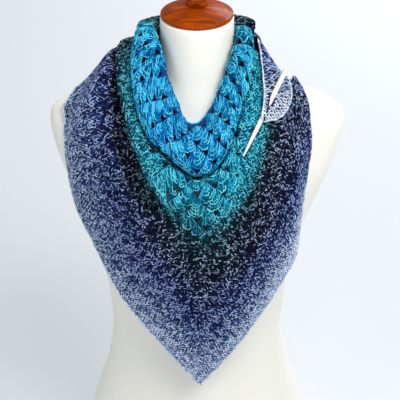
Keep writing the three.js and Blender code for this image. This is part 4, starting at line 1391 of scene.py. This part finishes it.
class NodePad:
    """A material's nodes, with short calls that add and join them."""

    def __init__(self, name: str) -> None:
        """Starts an empty material."""
        self.material = bpy.data.materials.new(name)
        self.material.use_nodes = True
        self.tree = self.material.node_tree
        self.tree.nodes.clear()

    def add(self, kind: str, **values: object) -> bpy.types.Node:
        """Adds a node and sets its fields or, where it has no such field, its sockets."""
        node = self.tree.nodes.new("ShaderNode" + kind)
        for name, value in values.items():
            if hasattr(node, name):
                setattr(node, name, value)
            else:
                node.inputs[name.replace("_", " ")].default_value = value
        return node

    def join(self, source: bpy.types.NodeSocket, target: bpy.types.NodeSocket) -> None:
        """Joins two sockets."""
        self.tree.links.new(source, target)

    def place(self) -> bpy.types.NodeSocket:
        """Gives the place on the object."""
        return self.add("TexCoord").outputs["Object"]

    def noise(self, place: bpy.types.NodeSocket, **values: float) -> bpy.types.NodeSocket:
        """Adds a cloudy pattern over a place."""
        node = self.add("TexNoise", **values)
        self.join(place, node.inputs["Vector"])
        return node.outputs["Fac"]

    def ramp(self, factor: bpy.types.NodeSocket, colours: tuple[Colour, ...]) -> bpy.types.NodeSocket:
        """Spreads colours evenly over a factor of 0 to 1."""
        node = self.add("ValToRGB")
        stops = node.color_ramp.elements
        for index, colour in enumerate(colours):
            place = index / (len(colours) - 1)
            stop = stops[index] if index < 2 else stops.new(place)
            stop.position = place
            stop.color = (*colour, 1)
        self.join(factor, node.inputs["Fac"])
        return node.outputs["Color"]

    def mix(self, factor: bpy.types.NodeSocket, a: bpy.types.NodeSocket,
            b: bpy.types.NodeSocket) -> bpy.types.NodeSocket:
        """Mixes two colours by a factor."""
        node = self.add("Mix", data_type="RGBA")
        self.join(factor, node.inputs[0])
        self.join(a, node.inputs[6])
        self.join(b, node.inputs[7])
        return node.outputs[2]

    def math(self, operation: str, a: bpy.types.NodeSocket, b: bpy.types.NodeSocket | float,
             clamp: bool = False) -> bpy.types.NodeSocket:
        """Does one sum on a socket and a number or another socket."""
        node = self.add("Math", operation=operation, use_clamp=clamp)
        self.join(a, node.inputs[0])
        if isinstance(b, float):
            node.inputs[1].default_value = b
        else:
            self.join(b, node.inputs[1])
        return node.outputs[0]

    def spread(self, value: bpy.types.NodeSocket, low: float, high: float) -> bpy.types.NodeSocket:
        """Stretches the span from low to high over 0 to 1."""
        node = self.add("MapRange", clamp=True)
        node.inputs["From Min"].default_value = low
        node.inputs["From Max"].default_value = high
        self.join(value, node.inputs["Value"])
        return node.outputs["Result"]

    def bump(self, height: bpy.types.NodeSocket, strength: float,
             distance: float) -> bpy.types.NodeSocket:
        """Makes a relief from a height."""
        node = self.add("Bump", Strength=strength, Distance=distance)
        self.join(height, node.inputs["Height"])
        return node.outputs["Normal"]

    def finish(self, colour: bpy.types.NodeSocket | Colour, relief: bpy.types.NodeSocket | None = None,
               **values: float) -> bpy.types.Material:
        """Ends the material with its shader.

        Args:
            colour: The colour, or the socket that gives it.
            relief: The socket of its relief, if it has one.
            **values: The shader's other values.

        Returns:
            The material.
        """
        shader = self.add("BsdfPrincipled", **values)
        if isinstance(colour, tuple):
            shader.inputs["Base Color"].default_value = (*colour, 1)
        else:
            self.join(colour, shader.inputs["Base Color"])
        if relief is not None:
            self.join(relief, shader.inputs["Normal"])
        self.join(shader.outputs[0], self.add("OutputMaterial").inputs["Surface"])
        return self.material


@dataclass(frozen=True)
class YarnFinish:
    """The heathered wool: a dark, a middle and a light shade for each tone from azure to the palest.

    `drift` is how far the tone wanders from place to place, and `heathering` how far the lightness
    does within one strand.
    """

    # The ground layer takes only the dark and middle shades, as painted shade between the strands.
    layer: Layer
    dark: tuple[Colour, ...] = (
        linear(1, 56, 122), linear(1, 52, 78), linear(2, 10, 17), linear(2, 3, 13), linear(4, 10, 46),
        linear(20, 34, 80), linear(100, 120, 172))
    # The teal shades (the second of each) are brighter: partly the yarn's colour, partly painted light
    # on the roll's right side.
    middle: tuple[Colour, ...] = (
        linear(0, 156, 224), linear(6, 168, 198), linear(6, 46, 62), linear(9, 18, 54),
        linear(26, 46, 120), linear(84, 112, 168), linear(168, 190, 226))
    light: tuple[Colour, ...] = (
        linear(98, 224, 252), linear(114, 238, 246), linear(126, 190, 208), linear(190, 206, 244),
        linear(168, 192, 244), linear(212, 230, 252), linear(246, 251, 255))
    drift: float = 0.07
    heathering: float = 0.5

    def material(self) -> bpy.types.Material:
        """Builds the wool's nodes.

        Returns:
            The material.
        """
        pad = NodePad("wool_" + self.layer.value)
        tone = pad.add("Attribute", attribute_name="tone").outputs["Fac"]
        place = pad.place()
        heather = pad.noise(place, Scale=420.0, Detail=3.0, Roughness=0.6)
        drift = pad.math("SUBTRACT", pad.noise(place, Scale=60.0, Detail=2.0), 0.5)
        shifted = pad.math("ADD", tone, pad.math("MULTIPLY", drift, self.drift), clamp=True)
        if self.layer is Layer.STRAND:
            fleck = pad.add("Attribute", attribute_name="fleck").outputs["Fac"]
            soft = pad.math("MULTIPLY", pad.math("SUBTRACT", heather, 0.5), self.heathering)
            shade = pad.math("ADD", fleck, soft, clamp=True)
        else:
            # Painted shade between the strands: the ground never takes the light shade.
            shade = pad.spread(heather, 0.5, 1.6)
        low, middle, high = (pad.ramp(shifted, shades)
                             for shades in (self.dark, self.middle, self.light))
        colour = pad.mix(pad.spread(shade, 0.0, 0.55), low, middle)
        colour = pad.mix(pad.spread(shade, 0.5, 1.0), colour, high)
        fibre = pad.noise(place, Scale=1500.0, Detail=3.0, Roughness=0.7)
        return pad.finish(colour, pad.bump(fibre, 0.5, 0.0004), Roughness=0.85,
                          Specular_IOR_Level=0.12, Sheen_Weight=0.03, Sheen_Roughness=0.4)


@dataclass(frozen=True)
class JerseyFinish:
    """The form's white knitted cover."""

    warm: Colour = linear(246, 243, 232)
    cool: Colour = linear(251, 249, 241)

    def material(self) -> bpy.types.Material:
        """Builds the jersey's nodes.

        Returns:
            The material.
        """
        pad = NodePad("white_jersey")
        place = pad.place()
        colour = pad.ramp(pad.noise(place, Scale=14.0, Detail=3.0), (self.warm, self.cool))
        knit = pad.add("TexVoronoi", Scale=900.0)
        pad.join(place, knit.inputs["Vector"])
        return pad.finish(colour, pad.bump(knit.outputs["Distance"], 0.25, 0.0003), Roughness=0.9,
                          Sheen_Weight=0.2, Sheen_Roughness=0.5)


@dataclass(frozen=True)
class WoodFinish:
    """Reddish varnished wood."""

    dark: Colour = linear(92, 26, 0)
    light: Colour = linear(196, 82, 0)

    def material(self) -> bpy.types.Material:
        """Builds the wood's nodes.

        Returns:
            The material.
        """
        pad = NodePad("varnished_wood")
        stretch = pad.add("Mapping", Scale=(6.0, 60.0, 60.0))
        pad.join(pad.place(), stretch.inputs["Vector"])
        grain = pad.noise(stretch.outputs["Vector"], Scale=3.0, Detail=6.0, Roughness=0.65,
                          Distortion=0.6)
        colour = pad.ramp(pad.spread(grain, 0.3, 0.75), (self.dark, self.light))
        return pad.finish(colour, pad.bump(grain, 0.12, 0.0002), Roughness=0.4,
                          Specular_IOR_Level=0.06, Coat_Weight=0.1, Coat_Roughness=0.08)


@dataclass(frozen=True)
class IvoryFinish:
    """The pale smooth stick."""

    dark: Colour = linear(232, 226, 214)
    light: Colour = linear(250, 248, 243)

    def material(self) -> bpy.types.Material:
        """Builds the stick's nodes.

        Returns:
            The material.
        """
        pad = NodePad("ivory_stick")
        grain = pad.noise(pad.place(), Scale=120.0, Detail=4.0)
        return pad.finish(pad.ramp(grain, (self.dark, self.light)), Roughness=0.32, Coat_Weight=0.25)


@dataclass
class Studio:
    """The pale floor, the soft light and the camera at the photograph's angle.

    `chest` is the point that the lights in front face.
    """

    place: tuple[float, float, float] = (0.004, -1.687, 1.533)
    pitch: float = 31.6
    lens: float = 126
    sensor: float = 36
    floor_half: float = 6.0
    floor_colour: Colour = linear(240, 242, 246)
    sky_colour: Colour = (0.90, 0.95, 1.0)
    sky_strength: float = 0.365
    chest: tuple[float, float, float] = (0, -0.05, 0.72)

    def camera(self) -> None:
        """Sets the camera."""
        data = bpy.data.cameras.new("camera")
        data.lens = self.lens
        data.sensor_width = self.sensor
        data.sensor_fit = "HORIZONTAL"
        data.clip_start = 0.05
        camera = bpy.data.objects.new("camera", data)
        camera.location = self.place
        camera.rotation_euler = (math.radians(90 - self.pitch), 0, 0)
        bpy.context.scene.collection.objects.link(camera)
        bpy.context.scene.camera = camera

    def floor(self) -> None:
        """Lays the plain pale floor."""
        mesh = bmesh.new()
        bmesh.ops.create_grid(mesh, x_segments=2, y_segments=2, size=self.floor_half)
        floor = new_object("studio_floor", mesh, smooth=False)
        floor.data.materials.append(NodePad("pale_floor").finish(self.floor_colour, Roughness=0.9))

    def lamp(self, name: str, place: tuple[float, float, float], target: tuple[float, float, float],
             size: float, power: float, colour: Colour) -> None:
        """Hangs one soft light.

        Args:
            name: The light's name.
            place: Where it hangs.
            target: The point that it faces.
            size: The side of its square.
            power: Its power in watts.
            colour: Its colour.
        """
        data = bpy.data.lights.new(name, "AREA")
        data.size = size
        data.energy = power
        data.color = colour
        lamp = bpy.data.objects.new(name, data)
        lamp.location = place
        aim = Vector(target) - Vector(place)
        lamp.rotation_euler = aim.to_track_quat("-Z", "Y").to_euler()
        bpy.context.scene.collection.objects.link(lamp)

    def light(self) -> None:
        """Sets the sky and hangs the lights."""
        world = bpy.data.worlds.new("studio_sky")
        world.use_nodes = True
        sky = world.node_tree.nodes["Background"]
        sky.inputs["Color"].default_value = (*self.sky_colour, 1)
        sky.inputs["Strength"].default_value = self.sky_strength
        bpy.context.scene.world = world
        self.lamp("window", (1.3, 2.6, 2.2), (0.2, 1.95, 0), 1.5, 56, (0.96, 0.98, 1.0))
        self.lamp("key", (0.5, -1.0, 1.85), self.chest, 0.8, 16, (1.0, 1.0, 0.98))
        self.lamp("side", (0.85, -0.6, 1.7), self.chest, 0.6, 6.5, (1.0, 1.0, 0.98))
        self.lamp("fill", (-0.95, -0.9, 1.3), self.chest, 0.8, 4.5, (1.0, 1.0, 0.97))
        bpy.context.scene.view_settings.view_transform = "Standard"


def ride(piece: bpy.types.Object, finish: bpy.types.Material) -> None:
    """Gives a piece its finish and the body that it moves with."""
    piece.data.materials.clear()
    piece.data.materials.append(finish)
    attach(piece, "root")


def dress_form(form: DressForm) -> None:
    """Builds the form and its wooden cap."""
    body = form.build()
    ride(body, JerseyFinish().material())
    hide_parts("form_torso")
    LOG.info("form body built")
    cap = NeckCap()
    wood = WoodFinish().material()
    for piece, node in ((cap.build_disc(), "form_neck_cap"), (cap.build_knob(), "form_finial")):
        ride(piece, wood)
        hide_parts(node)
    LOG.info("cap built")


@dataclass
class Shawl:
    """The cloth, its stitches and the stick, which all move with the one body.

    `stitch_pieces` gives each piece of close rows and the angles that it lies between.
    """

    form: DressForm
    hem_inset: float = 0.6
    neckline_inset: float = 0.8
    stitch_pieces: tuple[tuple[str, float, float], ...] = (
        ("left_edge_stitches", -90, -38), ("left_panel_stitches", -38, 0),
        ("right_panel_stitches", 0, 38), ("right_edge_stitches", 38, 90),
        ("left_wing_stitches", -262, -90), ("right_wing_stitches", 90, 225))

    def __post_init__(self) -> None:
        """Lays the cloth's middle surface on the form."""
        self.pin = ShawlPin()
        self.drape = Drape(self.form)
        self.lace = Lace(self.drape)
        self.flap = PinnedEnd(self.pin)
        self.yarn = Yarn()
        self.rows = StitchRows(self.yarn, self.pin)
        self.edge = TwistedEdge()

    def dress_pin(self) -> None:
        """Builds the stick."""
        stick = self.pin.build()
        ride(stick, IvoryFinish().material())
        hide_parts("shawl_pin")

    def dress_ground(self) -> tuple[bpy.types.Object, bpy.types.Object]:
        """Builds the ground of the cloth.

        Returns:
            The sheet and its lining.
        """
        ground = Ground(self.drape, self.lace)
        sheet = ground.build(self.flap)
        ride(sheet, YarnFinish(Layer.SHADED_GROUND).material())
        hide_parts("neck_roll", "teal_fold", "front_panel", "back_left_wing", "back_right_wing",
                    "pinned_end")
        LOG.info("ground built")
        lining = ground.build_lining()
        ride(lining, sheet.data.materials[0])
        return sheet, lining

    def dress_stitches(self, wool: bpy.types.Material) -> None:
        """Lays the lace's fans and all the rows of stitches.

        Args:
            wool: The strands' finish.
        """
        fans = Fans(self.drape, self.lace, self.yarn)
        ride(fans.build("roll_fans", 0, 5), wool)
        ride(fans.build("fold_fans", 5, LAST_RAIL), wool)
        dense = DenseCloth(self.drape, self.lace, self.rows)
        for name, low, high in self.stitch_pieces:
            ride(dense.build(name, low, high), wool)
        ride(dense.build_inside("collar_inner_stitches", -262, -200), wool)
        lines = []
        points, normals = self.flap.points, self.flap.normals
        for j in range(1, points.shape[1] - 1, 2):
            lines.append(self.rows.along_line(points[:, j], normals[:, j], self.flap.tone, (j // 2) % 2,
                                              2 * points[:, j + 1] - points[:, j]))
        legs = self.rows.legs(*joined(lines))
        ride(self.yarn.lay("pinned_end_stitches", **legs), wool)

    def dress_edges(self, wool: bpy.types.Material) -> None:
        """Lays the twisted edges of the hem, the neckline and the pinned end.

        Args:
            wool: The strands' finish.
        """
        drape = self.drape
        at = np.arange(drape.first, drape.last + 0.1, 0.5)
        for name, down, tone, slot in (
                ("hem_edge", drape.length_at(at) - self.hem_inset, hem_tone(at), "lavender_wool"),
                ("neckline_edge", np.full_like(at, self.neckline_inset),
                 drape.tone(at, np.zeros_like(at)), "azure_wool")):
            points, normals = (drape.read(table, at, down) for table in ("points", "normals"))
            ride(self.yarn.lay(name, **self.edge.strands(points, normals, tone)), wool)
        points, normals = self.flap.points, self.flap.normals
        cords = [self.edge.strands(points[rim], normals[rim], np.full(len(points[rim]), float(PALEST)))
                 for rim in ((slice(None), 0), (slice(None), -1), (-1, slice(None)))]
        ends = {key: np.concatenate([cord[key] for cord in cords]) for key in cords[0]}
        ride(self.yarn.lay("pinned_end_edge", **ends), wool)

    def dress(self) -> None:
        self.dress_pin()
        sheet, lining = self.dress_ground()
        wool = YarnFinish(Layer.STRAND).material()
        self.dress_stitches(wool)
        self.dress_edges(wool)


def main() -> None:
    """Builds the shawl on its form, and the studio round them."""
    logging.basicConfig(level=logging.INFO, format="%(message)s")
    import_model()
    studio = Studio()
    studio.camera()
    studio.floor()
    studio.light()
    form = DressForm()
    dress_form(form)
    Shawl(form).dress()


if __name__ == "__main__":
    main()
